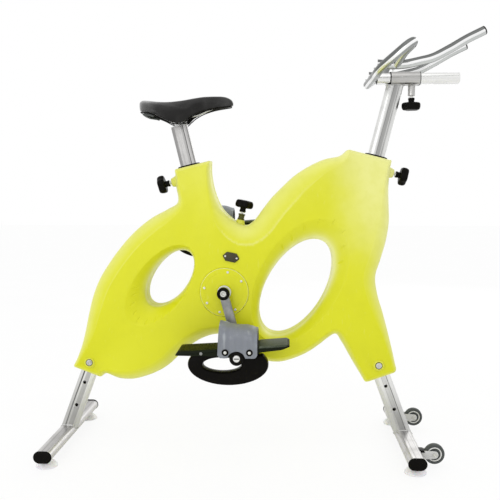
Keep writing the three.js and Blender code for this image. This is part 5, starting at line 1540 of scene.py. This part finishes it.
@dataclass
class Knobs:
    """Four lobed hand knobs on their screws."""
    radius: float = 28.5
    thick: float = 23.5
    hub: float = 12.0
    pitch: float = 1.2
    reach: float = 69.0
    tip: float = 25.4

    def knob(self) -> Surface:
        """A lobed wheel: its rounded profile turned, with the radius dipping between the lobes.

        Returns:
            The knob with its neck, along z.
        """
        r, low, high = self.radius, self.hub, self.hub + self.thick
        rows = [(8, low + 1), (20, low), (r - 1.4, low + 2.4), (r, low + 9), (r - 0.5, low + 16),
                (r - 4, high - 1), (13, high), (0.1, high + 0.4)]
        neck = turned([(9, 0), (10, 1), (8.6, 8), (9.5, low + 4), (5, low + 5)], 1.2, 32)
        return join(turned(rows, 3.0, 80, wave=lobes(5, 0.065, 80) - 0.065), neck)

    def build(self) -> None:
        """All four, on the same lines as their screws: foot, way out, reach and the screw's tip."""
        places = (*((*clamp, self.reach, self.tip) for clamp in CLAMPS),
                  ("slide", np.array([BAR_TOP[0] + 48, SLIDE_Z]), np.array([0.0, -1.0]), 56.0, 15.4),
                  ("tension", np.zeros(2), TENSION_UP, float(np.linalg.norm(TENSION)) + 29.35, 0.0))
        ring = turned([(4.3, -2.3), (8.4, -2.3), (8.4, -0.3), (4.3, -0.3)], 0.4, 32, True)
        for name, foot, out, reach, tip in places:
            lay, body = along(foot + out * reach, out), f"{name}_hand_knob"
            piece(f"{name}_knob_grip", self.knob().laid(lay), Finish.BLACK, body, f"{name}_knob")
            piece(f"{name}_knob_ring", ring.laid(lay), Finish.BRIGHT, body)
            if tip:
                turns = np.arange(int((reach + 4 - tip) / self.pitch) + 1)
                thread = turned(np.stack([4 - 0.35 * (turns % 2), turns * self.pitch], 1), 0, 20)
                piece(f"{name}_knob_screw", thread.laid(along(foot + out * tip, out)), Finish.SCREW, body)


# Saddle

@dataclass
class Saddle:
    """The padded saddle with its shell, rails, clamp and post.

    Each row of shares is a section: its place along the length, its width, the height
    of its crown and the height of its lower edge.
    """
    length: float = 271.0
    width: float = 156.0
    height: float = 90.0
    padding: float = 20.0
    tail: float = 110.0
    clamp: float = 29.0
    rail: float = 3.5
    shares: tuple[tuple[float, float, float, float], ...] = (
        (0, 0.6, 0.86, 0.4), (0.04, 0.8, 0.86, 0.385), (0.1, 0.92, 0.825, 0.36), (0.2, 1, 0.79, 0.25),
        (0.3, 0.97, 0.79, 0.1), (0.38, 0.88, 0.815, 0.02), (0.46, 0.75, 0.85, 0.03),
        (0.52, 0.63, 0.885, 0.16), (0.58, 0.53, 0.92, 0.29), (0.68, 0.4, 0.965, 0.43), (0.8, 0.31, 1, 0.53),
        (0.9, 0.27, 1.01, 0.58), (0.97, 0.23, 0.95, 0.61), (1, 0.17, 0.88, 0.63))

    def __post_init__(self) -> None:
        """Works out where the saddle's head and rails stand."""
        self.head = SEAT_TOP + SEAT_UP * 15.35
        self.rail_z = self.head[1] + 19

    def x(self, way: float | Array) -> float | Array:
        """Forward place of a share of the saddle's length."""
        return SEAT_TOP[0] - self.tail + way * self.length

    def z(self, share: float | Array) -> float | Array:
        """Height of a share of the saddle's height."""
        return SEAT_TOP[1] + share * self.height

    def y(self, share: float | Array) -> float | Array:
        """Half width of a share of the saddle's width."""
        return share * self.width / 2

    def rows(self, start: float = -1.0, end: float = 2.0) -> Array:
        """The table of sections between two places, with rounded ends, as a smooth dense one."""
        rows = spline(np.array([[-0.016, 0.42, 0.83, 0.44], *self.shares, [1.01, 0.08, 0.82, 0.67]]), 5)
        return rows[(rows[:, 0] > start) & (rows[:, 0] < end)]

    def build_cushion(self) -> None:
        """The padded top: a crowned form over a hollow, puffed by cloth and eased back.

        Each section runs over the crown, where across is half the width times the sine to
        the power 0.8 and up follows the cosine's root, and back under it through the hollow.
        """
        rows = self.rows()[:, :, None]
        t, s = np.linspace(0.5, -0.5, 33)[None] * np.pi, np.linspace(-0.5, 0.5, 17)[None] * np.pi
        sine, cosine = np.sin(t), np.maximum(np.cos(t), 0)
        half = self.y(rows[:, 1]) * (1 - 2.2 / np.maximum(self.y(rows[:, 1]), 9))
        low, crown = self.z(rows[:, 3]) + 1.5, self.z(rows[:, 2]) - 2.0
        across, up = half * np.sign(sine) * np.abs(sine) ** 0.8, low + (crown - low) * cosine ** 0.62
        roof = np.maximum(crown - self.padding, low + 3)
        ends = np.clip(np.minimum((rows[:, 0] - 0.02) / 0.1, (0.99 - rows[:, 0]) / 0.1), 0, 1)
        under_y = np.minimum(half * 0.84, np.maximum(half - 7, 1.5)) * np.sin(s)
        under_z = low + (roof - low) * np.cos(s) ** 0.5 * ends + (1 - ends) * 2
        y, z = np.concatenate([across, under_y], 1), np.concatenate([up, under_z], 1)
        surface = skin(np.stack([np.broadcast_to(self.x(rows[:, 0]), y.shape), y, z], 2))
        made = new_object("saddle_cushion_skin", surface.points, surface.faces, 180)
        face_out(made)
        even = made.modifiers.new("even", "REMESH")
        even.mode, even.voxel_size, even.use_smooth_shade = "VOXEL", 0.0042, True
        self.soften(made, 4)
        bake(made)
        self.puff(made)
        self.soften(made, 3)
        finer = made.modifiers.new("finer", "SUBSURF")
        finer.levels = finer.render_levels = 1
        bake(made)
        smooth(made.data, 180)
        settle(made, Finish.COVER, "saddle")

    @staticmethod
    def soften(made: Object, turns: int) -> None:
        """Adds a modifier that eases each point half way to its neighbours, some times."""
        ease = made.modifiers.new("ease", "SMOOTH")
        ease.factor, ease.iterations = 0.5, turns

    @staticmethod
    def puff(made: Object, cap: float = 0.0025, frames: int = 20) -> None:
        """Swells a closed mesh with cloth under pressure.

        Args:
            made: the object.
            cap: farthest that a point may move, in metres.
            frames: how long the cloth runs.
        """
        before = np.zeros(len(made.data.vertices) * 3)
        after = before.copy()
        made.data.vertices.foreach_get("co", before)
        cloth = made.modifiers.new("cloth", "CLOTH")
        cloth.settings.use_pressure = True
        cloth.settings.uniform_pressure_force = 4.0
        cloth.settings.effector_weights.gravity = 0.0
        cloth.settings.quality = 4
        for number in range(1, frames + 1):
            bpy.context.scene.frame_set(number)
        shown = made.evaluated_get(bpy.context.evaluated_depsgraph_get())
        shown.data.vertices.foreach_get("co", after)
        made.modifiers.remove(cloth)
        bpy.context.scene.frame_set(1)
        move = (after - before).reshape(-1, 3)
        move *= np.minimum(1, cap / np.maximum(np.linalg.norm(move, axis=1, keepdims=True), 1e-9))
        made.data.vertices.foreach_set("co", (before.reshape(-1, 3) + move).ravel())
        made.data.update()

    def build_shell(self) -> None:
        """The black shell under the cushion, its piping and the lip under its tail.

        The shell's sections drop from a flat roof to the edge by the way out to the
        power 3.2, and its underside is the same a little lower.
        """
        rows = self.rows(0.03, 0.97)
        roof = np.maximum(self.z(rows[:, 2]) - self.padding - 1, self.z(rows[:, 3]) + 4)[:, None]
        low, s = (self.z(rows[:, 3]) + 2)[:, None], np.linspace(-1, 1, 21)[None]
        z = roof - 0.6 - (roof - low) * np.abs(s) ** 3.2 * 0.85
        x, y = np.broadcast_to(self.x(rows[:, :1]), z.shape), self.y(rows[:, 1:2]) * 0.8 * s
        upper = np.stack([x, y, z], 2)
        made = piece("saddle_base_skin", skin(np.concatenate([upper, upper[:, ::-1] - [0, 0, 2.4]], 1)),
                     Finish.BLACK, "saddle")
        face_out(made)
        edge = self.rows(0.018, 0.985)
        side = np.stack([self.x(edge[:, 0]), self.y(edge[:, 1]) * 0.975 - 1, self.z(edge[:, 3]) + 1.6], 1)
        loop = np.concatenate([side, (side * [1, -1, 1])[::-1]])
        path = spline(np.concatenate([loop, loop[:2]]), 3)
        piping = swept(path, 1.5, 10, (0.15, 0, 1))
        piece("saddle_piping", piping, Finish.BLACK, "saddle", slot="saddle_cover")
        near = edge[edge[:, 0] < 0.15]
        side = np.stack([self.x(near[:, 0] + 0.03), self.y(near[:, 1]) * 0.86, self.z(near[:, 3]) - 3.5], 1)
        lip = spline(np.concatenate([side[::-1], side * [1, -1, 1]])[1:], 2)
        piece("saddle_tail_lip", swept(lip, 3.8, 14, (0, 0, 1)), Finish.TYRE, "saddle")

    def build_rails(self) -> None:
        """The two rails, joined at the nose."""
        ways, _, crowns, _ = np.array(self.shares).T
        tail, nose = self.z(np.interp([0.12, 0.88], ways, crowns)) - self.padding - 3.7 - self.rail
        z = self.rail_z
        side = np.array([[0.12, 1.2, tail], [0.17, 1.1, (tail + z) / 2], [0.24, 1, z], [0.4, 1, z],
                         [0.56, 1, z], [0.72, 0.7, (nose + z) / 2], [0.85, 0.4, nose]])
        line = np.stack([self.x(side[:, 0]), side[:, 1] * 22, side[:, 2]], 1)
        path = spline(np.concatenate([line, [[self.x(0.88), 0, nose]], (line * [1, -1, 1])[::-1]]), 10)
        piece("saddle_rails_skin", swept(path, self.rail, 16, (0.1, 0, 1)), Finish.FITTING, "saddle")

    def build_clamp(self) -> None:
        """The clamp over the round head, with its two bolts."""
        block = [[26, 1], [26, 20], [20, 26], [-20, 26], [-26, 20], [-26, 1]]
        block = np.concatenate([block, arc(13.4, 186, -6, 20)])
        solid = extruded(block, 2 * self.clamp, 1.4, 3, -self.clamp)
        face_out(piece("saddle_clamp_skin", solid.laid(outward(-1, self.head)), Finish.BLACK, "saddle"))
        down = Axes(side_point(self.head), *np.diag([1.0, -1, -1]))
        heads = [pan_head(5).laid(down.moved(x, -side * 12, -0.9)) for x in (-19.5, 19.5) for side in (1, -1)]
        piece("saddle_clamp_bolts", join(*heads), Finish.SCREW, "saddle")

    def build_post(self) -> None:
        """The oval post and its round head."""
        post = tube(337).laid(along(SEAT_COLLAR - SEAT_UP * 215, SEAT_UP))
        piece("seat_post_skin", post, Finish.SEAT, "seat_column")
        plug, lid = extruded(oval(-4.7), 17, 0.6, low=-14), extruded(oval(), 3, 0.9, low=GAP)
        head = turned([(0.1, -15), (13, -15), (13, 15), (0.1, 15)], 1.0, 48).laid(outward(1, self.head))
        top = along(SEAT_TOP, SEAT_UP)
        piece("seat_post_head_skin", join(plug.laid(top), lid.laid(top), head), Finish.FITTING, "seat_column")

    def build(self) -> None:
        """The whole seat."""
        self.build_cushion()
        self.build_shell()
        self.build_rails()
        self.build_clamp()
        self.build_post()


# Handlebar

def tube_seam(lay: Axes, steps: int) -> Array:
    """A line just outside the bike's oval tube, laid across it."""
    ring = oval(2, steps)
    return lay.lay(np.column_stack([ring, np.zeros(len(ring))]))


@dataclass
class Handlebar:
    """The post, its sleeve, the slide tube and the bent bars.

    The rows of loops and horns are shares along their lengths, the horns' being
    forward and up, and the loops' being forward, up and across.
    """
    radius: float = 12.5
    sleeve: float = 83.0
    lip: float = 2.0
    slide: float = 236.0
    horn_across: float = 105.0
    horn_size: Pair = (291, 88)
    loop_size: Triple = (84, 66, 212)
    joint: float = 0.17
    loops: tuple[Triple, ...] = (
        (0, 0, 0.38), (0.01, 0.03, 0.61), (0.14, 0.19, 0.75), (0.45, 0.5, 0.92), (0.8, 0.86, 0.985),
        (0.97, 1, 0.94), (0.99, 0.98, 0.86), (0.8, 0.74, 0.7))
    horns: tuple[Pair, ...] = (
        (0, 0), (0.16, -0.03), (0.27, -0.01), (0.41, 0.083), (0.525, 0.18), (0.675, 0.43), (0.845, 0.75),
        (1, 1))

    def __post_init__(self) -> None:
        """Works out the places that the pieces share."""
        self.sleeve_x = BAR_TOP[0] + 27
        self.rear = self.sleeve_x - self.sleeve / 2 - 39
        self.bar_x = self.rear - self.radius - GAP

    def horn(self, side: int) -> Array:
        """A horn's middle line.

        Args:
            side: 1 or -1, the side of the bike it is on.

        Returns:
            The line's points, from the bar to the tip.
        """
        x, z = (np.array(self.horns) * self.horn_size).T
        base = SLIDE_Z + 2 * self.radius + GAP
        return spline(np.stack([self.bar_x + x, np.full(len(x), side * self.horn_across), base + z], 1), 12)

    def loop(self, side: int) -> Array:
        """One loop's places from the middle out to its joint under the horn.

        Args:
            side: 1 or -1, the side of the bike it is on.

        Returns:
            The places, before they are rounded into a line.
        """
        x, z, y = (np.array(self.loops) * self.loop_size).T
        horn, line = self.horn(side), np.stack([self.bar_x + x, side * y, SLIDE_Z + z], 1)
        return np.concatenate([line, horn[[int(len(horn) * self.joint)]]])

    def build_post(self) -> None:
        """The post, its top mitred to the sleeve, with the weld bead that joins them."""
        rise = side_point(BAR_UP)
        post = tube(397).laid(along(BAR_COLLAR - BAR_UP * 190, BAR_UP))
        high = post.points[:, 2] > BAR_TOP[1] - 25
        post.points[high] += ((SLIDE_Z - 19.4 - post.points[high, 2]) / BAR_UP[1])[:, None] * rise
        piece("handlebar_post_skin", post, Finish.POST, "handlebar_column")
        self.build_sleeve()
        path = tube_seam(along(BAR_TOP, BAR_UP), 14)
        path = path + np.clip((SLIDE_Z - 19 - path[:, 2]) / BAR_UP[1], -14, 14)[:, None] * rise
        path = np.concatenate([path, path[:2]])
        ripple = 1.7 + 0.25 * np.sin(np.arange(len(path) * 6 - 5) * 1.7)
        ways = np.linspace(0, len(path) - 1, len(ripple))
        dense = np.stack([np.interp(ways, np.arange(len(path)), path[:, i]) for i in range(3)], 1)
        piece("post_weld", swept(dense, ripple, 8, (0, 0, 1)), Finish.FITTING, "handlebar_column")

    def build_sleeve(self) -> None:
        """The sleeve with the stem of its knob."""
        start = self.sleeve_x - self.sleeve / 2
        sleeve = tube(self.sleeve, SLEEVE_GROW, 1).laid(forward(start, SLIDE_Z))
        down = along(np.array([self.sleeve_x + 21, SLIDE_Z]), np.array([0.0, -1.0]))
        stem = turned([(4.5, 15.5), (10.5, 15.5), (10.5, 49), (9.5, 50), (4.5, 50)], 0.6, 36, True).laid(down)
        bead = turned([(10.4, 18.6), (12.4, 18.8), (10.4, 20.6)], 0.6, 36).laid(down)
        piece("slide_sleeve_skin", join(sleeve, stem, bead), Finish.SLEEVE, "handlebar_column")

    def build_slide(self) -> None:
        """The lips at the sleeve's ends, and the tube that slides in it."""
        half = self.sleeve / 2 + 0.2
        lips = join(*(tube(self.lip, SLEEVE_GROW, 1).laid(forward(x, SLIDE_Z))
                      for x in (self.sleeve_x - half - self.lip, self.sleeve_x + half)))
        piece("slide_sleeve_lips", lips, Finish.BLACK, "handlebar_column")
        slide = tube(self.slide).laid(forward(self.rear, SLIDE_Z))
        piece("slide_tube_skin", slide, Finish.SLIDE, "handlebar")

    def build_bars(self) -> None:
        """The loop bar and the two horns with their caps and weld beads."""
        line = np.concatenate([self.loop(-1)[::-1], [[self.bar_x, 0, SLIDE_Z]], self.loop(1)])
        bar = swept(spline(line, 9), self.radius, 28, (-0.62, 0, 0.78))
        piece("grip_bar_skin", bar, Finish.LOOP, "handlebar")
        rows = [(8, -12), (10, -12), (10.2, 0), (12.5, GAP), (12.5, 2.2), (10.6, 4.3), (0.1, 4.3)]
        turn = np.linspace(0, 2 * np.pi, 60)
        ring = np.stack([9.6 * np.cos(turn), 7.44 * np.sin(turn), 1.2 * np.cos(2 * turn)], 1)
        for hand, side in SIDES:
            path = self.horn(side)
            piece(f"horn_{hand}_skin", swept(path, self.radius, 28), Finish.BAR, "handlebar")
            end, out = path[-1], unit(path[-1] - path[-2])
            cap = turned(rows, 0.7, 36).laid(along(end[[0, 2]], out[[0, 2]], end[1]))
            piece(f"horn_cap_{hand}_skin", cap, Finish.BLACK, "handlebar")
            bead = swept(path[0] + [2, 0, -self.radius] + ring, 1.6 + 0.25 * np.sin(turn * 22), 8, (0, 0, 1))
            piece(f"horn_weld_{hand}", bead, Finish.FITTING, "handlebar")

    def build(self) -> None:
        """Every piece of the handlebar."""
        self.build_post()
        self.build_slide()
        self.build_bars()


# Legs

FLOOR = -CRANK_HEIGHT


@dataclass
class Leg:
    """One leg with its stabiliser, caps and rubber feet."""
    end: str
    bolt: Array
    up: Array
    stabiliser: float = 490.0
    foot_height: float = 23.0
    foot_inset: float = 34.0
    pitch: float = 76.0
    above: float = 85.0
    start: float = 12.0

    def __post_init__(self) -> None:
        """Works out where the leg's line crosses its stabiliser's middle."""
        z = FLOOR + self.foot_height + OVAL[1] / 2 + GAP
        self.axle = self.bolt + self.up * (z - self.bolt[1]) / self.up[1]
        self.body = f"{self.end}_leg"

    def drop(self, points: Array) -> Array:
        """Runs points down their tube until they meet the stabiliser's round top.

        The stabiliser's section is a flat oval, so its top is level between its two half
        circles. The way down is halved until each point lies on it, and points that pass
        beside it stop level with its middle.

        Args:
            points: points of the leg's lower end.

        Returns:
            The points, moved along the leg.
        """
        way = side_point(self.up)
        low, high = np.full(len(points), -60.0), np.full(len(points), 30.0)
        flat = (OVAL[0] - OVAL[1]) / 2
        for _ in range(22):
            mid = (low + high) / 2
            at = points + mid[:, None] * way
            dx = np.maximum(np.abs(at[:, 0] - self.axle[0]) - flat, 0)
            inside = np.hypot(dx, at[:, 2] - self.axle[1]) < OVAL[1] / 2 + 0.2
            low, high = np.where(inside, mid, low), np.where(inside, high, mid)
        beside = (self.axle[1] + 1.0 - points[:, 2]) / way[2]
        return points + np.maximum(high, beside)[:, None] * way

    def build_tube(self) -> None:
        """The leg's tube, mitred to its stabiliser and drilled for its bolt."""
        length = float(np.linalg.norm(self.bolt + self.up * self.above - self.axle)) - self.start
        shape = tube(length).laid(along(self.axle + self.up * self.start, self.up))
        low = shape.points[:, 2] < self.axle[1] + 40
        shape.points[low] = self.drop(shape.points[low])
        made = piece(f"{self.end}_leg_tube_skin", shape, Finish[f"{self.end.upper()}_LEG"], self.body)
        hole = extruded(circle(5.2, 24), 40, 0.05, 1)
        holes = (hole.laid(outward(-1, self.bolt - self.up * step * self.pitch, -20)) for step in range(3))
        carve(made, join(*holes), 35)

    def build_stabiliser(self) -> None:
        """The cross tube and the weld bead between it and the leg."""
        across = Axes(side_point(self.axle), *np.array([[1.0, 0, 0], [0, 0, -1], [0, 1, 0]]))
        bar = tube(self.stabiliser, low=-self.stabiliser / 2)
        piece(f"{self.end}_stabiliser_skin", bar.laid(across), Finish.STABILISER, self.body)
        path = self.drop(tube_seam(along(self.axle + self.up * self.start, self.up), 24))
        dense = spline(np.concatenate([path, path[:2]]), 4)
        ripple = 1.8 + 0.3 * np.sin(np.arange(len(dense)) * 1.3)
        piece(f"{self.end}_leg_weld", swept(dense, ripple, 8, (0, 0, 1)), Finish.FITTING, self.body)

    def build_ends(self) -> None:
        """The end caps and the rubber feet."""
        half, cap = self.stabiliser / 2, stadium(52, 35, 14)
        levels = ((0.8, GAP), (0, 1.2), (0, 3.2), (1.0, 4.4), (2.6, 5.0))
        lip = stepped(tuple((cap, draw, z) for draw, z in levels))
        whole = join(lip, extruded(oval(-4.7), 12, 0.4, 1, -10))
        rows = [(0.1, 0), (27.5, 0), (28.5, 0.9), (30.5, 0.9), (30.5, 4.2), (24.4, 11.5), (16, 16.6),
                (15.6, 22.8), (0.1, 22.8)]
        foot = turned(rows, 1.3, 56)
        for hand, side in SIDES:
            cap = whole.laid(outward(side, self.axle, half))
            piece(f"{self.end}_end_cap_{hand}_skin", cap, Finish.BLACK, self.body)
            floor = Axes(np.array([self.axle[0], side * (half - self.foot_inset), FLOOR]), *np.eye(3))
            piece(f"{self.end}_foot_{hand}_skin", foot.laid(floor), Finish.FOOT, self.body)

    def build(self) -> None:
        """The whole leg."""
        self.build_tube()
        self.build_stabiliser()
        self.build_ends()


@dataclass
class Wheels:
    """The two forks and transport wheels in front of the front leg.

    The rows of parts are the inner half of each part's section.
    """
    track: float = 165.0
    reach: float = 60.0
    height: float = 39.5
    root: float = 14.0
    cheeks: Pair = (10.5, -13.5)
    parts: tuple = (
        ("tyre", Finish.TYRE, ((20.6, -7.5), (22, -9), (27, -9), (28.5, -5.4))),
        ("rim", Finish.WHITE, ((16.6, -6.5), (17.4, -8.4), (19.6, -8.4), (20.4, -7))),
        ("hub", Finish.TYRE, ((4.35, -9), (8, -9), (8.6, -6), (16.4, -6))))

    def build_fork(self, hand: str, side: int, axle: Array) -> None:
        """One fork: two cheeks that taper to the wheel, and the bridge on the stabiliser.

        Args:
            hand: right or left.
            side: -1 for the right, 1 for the left.
            axle: the front stabiliser's middle.
        """
        x, z, root = axle[0] + self.reach, FLOOR + self.height, axle[0] + self.root
        cheek = fillet([[root, axle[1] - 13], [x - 6, z - 11], [x + 6, z - 10], [x + 11, z], [x + 6, z + 10],
                        [x - 6, z + 11], [root, axle[1] + 13]], np.array([2, 5, 6, 6, 6, 5, 2]))
        plate = extruded(mirrored(cheek, side), 3, 0.7, 2)
        plates = [plate.laid(outward(side, (0, 0), self.track + near)) for near in self.cheeks]
        bridge = extruded(fillet([[0, -10.5], [3, -10.5], [3, 10.5], [0, 10.5]], 0.5, 2), 24, 0.5, 1)
        bridge = bridge.laid(Axes(np.array([axle[0] + 25.8, side * self.track, axle[1] - 12]), *np.eye(3)))
        face_out(piece(f"wheel_fork_{hand}_skin", join(*plates, bridge), Finish.RIM, "front_leg"))
        block = extruded(fillet([[0, 0], [19, 0], [17, 5.5], [0, 5.5]], 1.2, 2), 30, 1.0, 2, -15)
        block = block.laid(outward(-1, (root - 1, axle[1] + 8), -side * self.track))
        piece(f"wheel_stop_{hand}", block, Finish.BLACK, "front_leg")

    def build(self) -> None:
        """Both forks with their axles, tyres, rims and hubs."""
        axle = Leg("front", FRONT_BOLT, FRONT_UP).axle
        pins = turned([(0.1, -15.5), (6.5, -15.5), (6.5, -13.4), (3.9, -13.4), (3.9, 13.4), (6.5, 13.4),
                       (6.5, 15.5), (3.4, 16.2), (3, 15.2), (0.1, 15)], 0.4, 24)
        for hand, side in SIDES:
            self.build_fork(hand, side, axle)
            lay = outward(side, (axle[0] + self.reach, FLOOR + self.height), self.track)
            piece(f"wheel_axle_{hand}", pins.laid(lay), Finish.SCREW, "front_leg")
            for part, finish, half in self.parts:
                rows = [*half, *((radius, -level) for radius, level in half[::-1])]
                piece(f"wheel_{hand}_{part}", turned(rows, 0.8, 56, True).laid(lay), finish,
                      f"transport_wheel_{hand}", f"wheel_{hand}" if part == "tyre" else "")


# Carried-over nodes

def dress_nodes() -> None:
    """Gives the nodes of the solids their finishes: only those inside the body stay in the model."""
    inner = {"brake_pad": Finish.TREAD, "brake_rod": Finish.SCREW}
    for name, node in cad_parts.items():
        node.data.materials.clear()
        node.data.materials.append(inner.get(name, Finish.FITTING).material())


# Studio

@dataclass
class Studio:
    """Floor, lights, backdrop and the camera that matches the picture."""
    lens: float = 51.12
    sensor: float = 36.0
    eye: Triple = (178.0, -2133.0, 296.0)
    yaw: float = 2.85
    pitch: float = 4.75
    floor: float = 14.0
    soft: float = 0.93
    lamps: tuple = (
        ("overhead", (-0.4, -1.2, 3.4), (0, 0, 0.5), 2.6, 11),
        ("front", (-1.6, -3.4, 1.2), (0, 0, 0.4), 2.0, 17),
        ("behind", (1.6, 3.2, 1.8), (0, 0, 0.6), 2.0, 14))

    def build_camera(self) -> None:
        """A camera looking along +Y, turned left by the yaw and down by the pitch."""
        data = bpy.data.cameras.new("camera")
        data.lens, data.sensor_width, data.clip_end = self.lens, self.sensor, 40.0
        (st, ct), (sp, cp) = leaning(self.yaw), leaning(self.pitch)
        right, ahead = np.array([ct, st, 0]), np.array([-st * cp, ct * cp, -sp])
        made = linked("camera", data)
        turn_to(made, right, np.cross(right, ahead), -ahead, (np.array(self.eye) + SHIFT) * MM)
        bpy.context.scene.camera = made

    def build_floor(self) -> None:
        """A wide pale floor, white to the camera far away and shaded near the bike."""
        mesh = bpy.data.meshes.new("floor")
        corners = [(x * self.floor, y * self.floor, 0) for x, y in ((-1, -1), (1, -1), (1, 1), (-1, 1))]
        mesh.from_pydata(corners, [], [(0, 1, 2, 3)])
        g = Graph(bpy.data.materials.new("floor_paper"))
        cloud = g.noise(g.place(), 3, 2)
        base = g.blend(cloud.between(0.3, 0.7), rgba((0.93, 0.93, 0.93)), rgba((0.96, 0.96, 0.96)))
        paper = g.node("ShaderNodeEmission", {}, {"Color": rgba((1, 1, 1)), "Strength": 1.0}).outputs[0]
        seen = g.value(g.node("ShaderNodeLightPath"), "Is Camera Ray") * 0.86
        mesh.materials.append(g.show(g.mix(seen, g.shader(Base_Color=base, Roughness=0.75), paper)))
        linked("floor", mesh)

    def build_world(self) -> None:
        """White to the camera and in reflections, and a soft even light on the rest."""
        world = bpy.data.worlds.new("studio")
        bpy.context.scene.world = world
        g = Graph(world)
        path = g.node("ShaderNodeLightPath")
        seen = g.value(path, "Is Camera Ray").either(g.value(path, "Is Glossy Ray"))
        seen = seen.either(g.value(path, "Is Transmission Ray"))
        white = {"Color": rgba((1, 1, 1))}
        soft = g.node("ShaderNodeBackground", {}, {**white, "Strength": self.soft}).outputs[0]
        paper = g.node("ShaderNodeBackground", {}, {**white, "Strength": 1.0}).outputs[0]
        g.show(g.mix(seen, soft, paper), "World")

    def build_lights(self) -> None:
        """A large overhead lamp, a front lamp and a weaker one from behind."""
        for name, place, aim, size, power in self.lamps:
            data = bpy.data.lights.new(name, "AREA")
            data.size, data.energy = size, power
            back = unit(np.array(place) - np.array(aim))
            side = unit(np.cross([0, 0, 1.0], back))
            turn_to(linked(name, data), side, np.cross(back, side), back, np.array(place))

    def build(self) -> None:
        """The whole studio."""
        bpy.context.scene.view_settings.view_transform = "Standard"
        self.build_floor()
        self.build_world()
        self.build_lights()
        self.build_camera()


def main() -> None:
    """Builds every assembly in order."""
    logging.basicConfig(level=logging.INFO, format="%(message)s")
    dress_nodes()
    legs = (Leg("rear", REAR_BOLT, REAR_UP), Leg("front", FRONT_BOLT, FRONT_UP))
    for assembly in (Body(), Drive(), Knobs(), Saddle(), Handlebar(), *legs, Wheels(), Studio()):
        log.info("building %s", type(assembly).__name__)
        assembly.build()


if __name__ == "__main__":
    main()
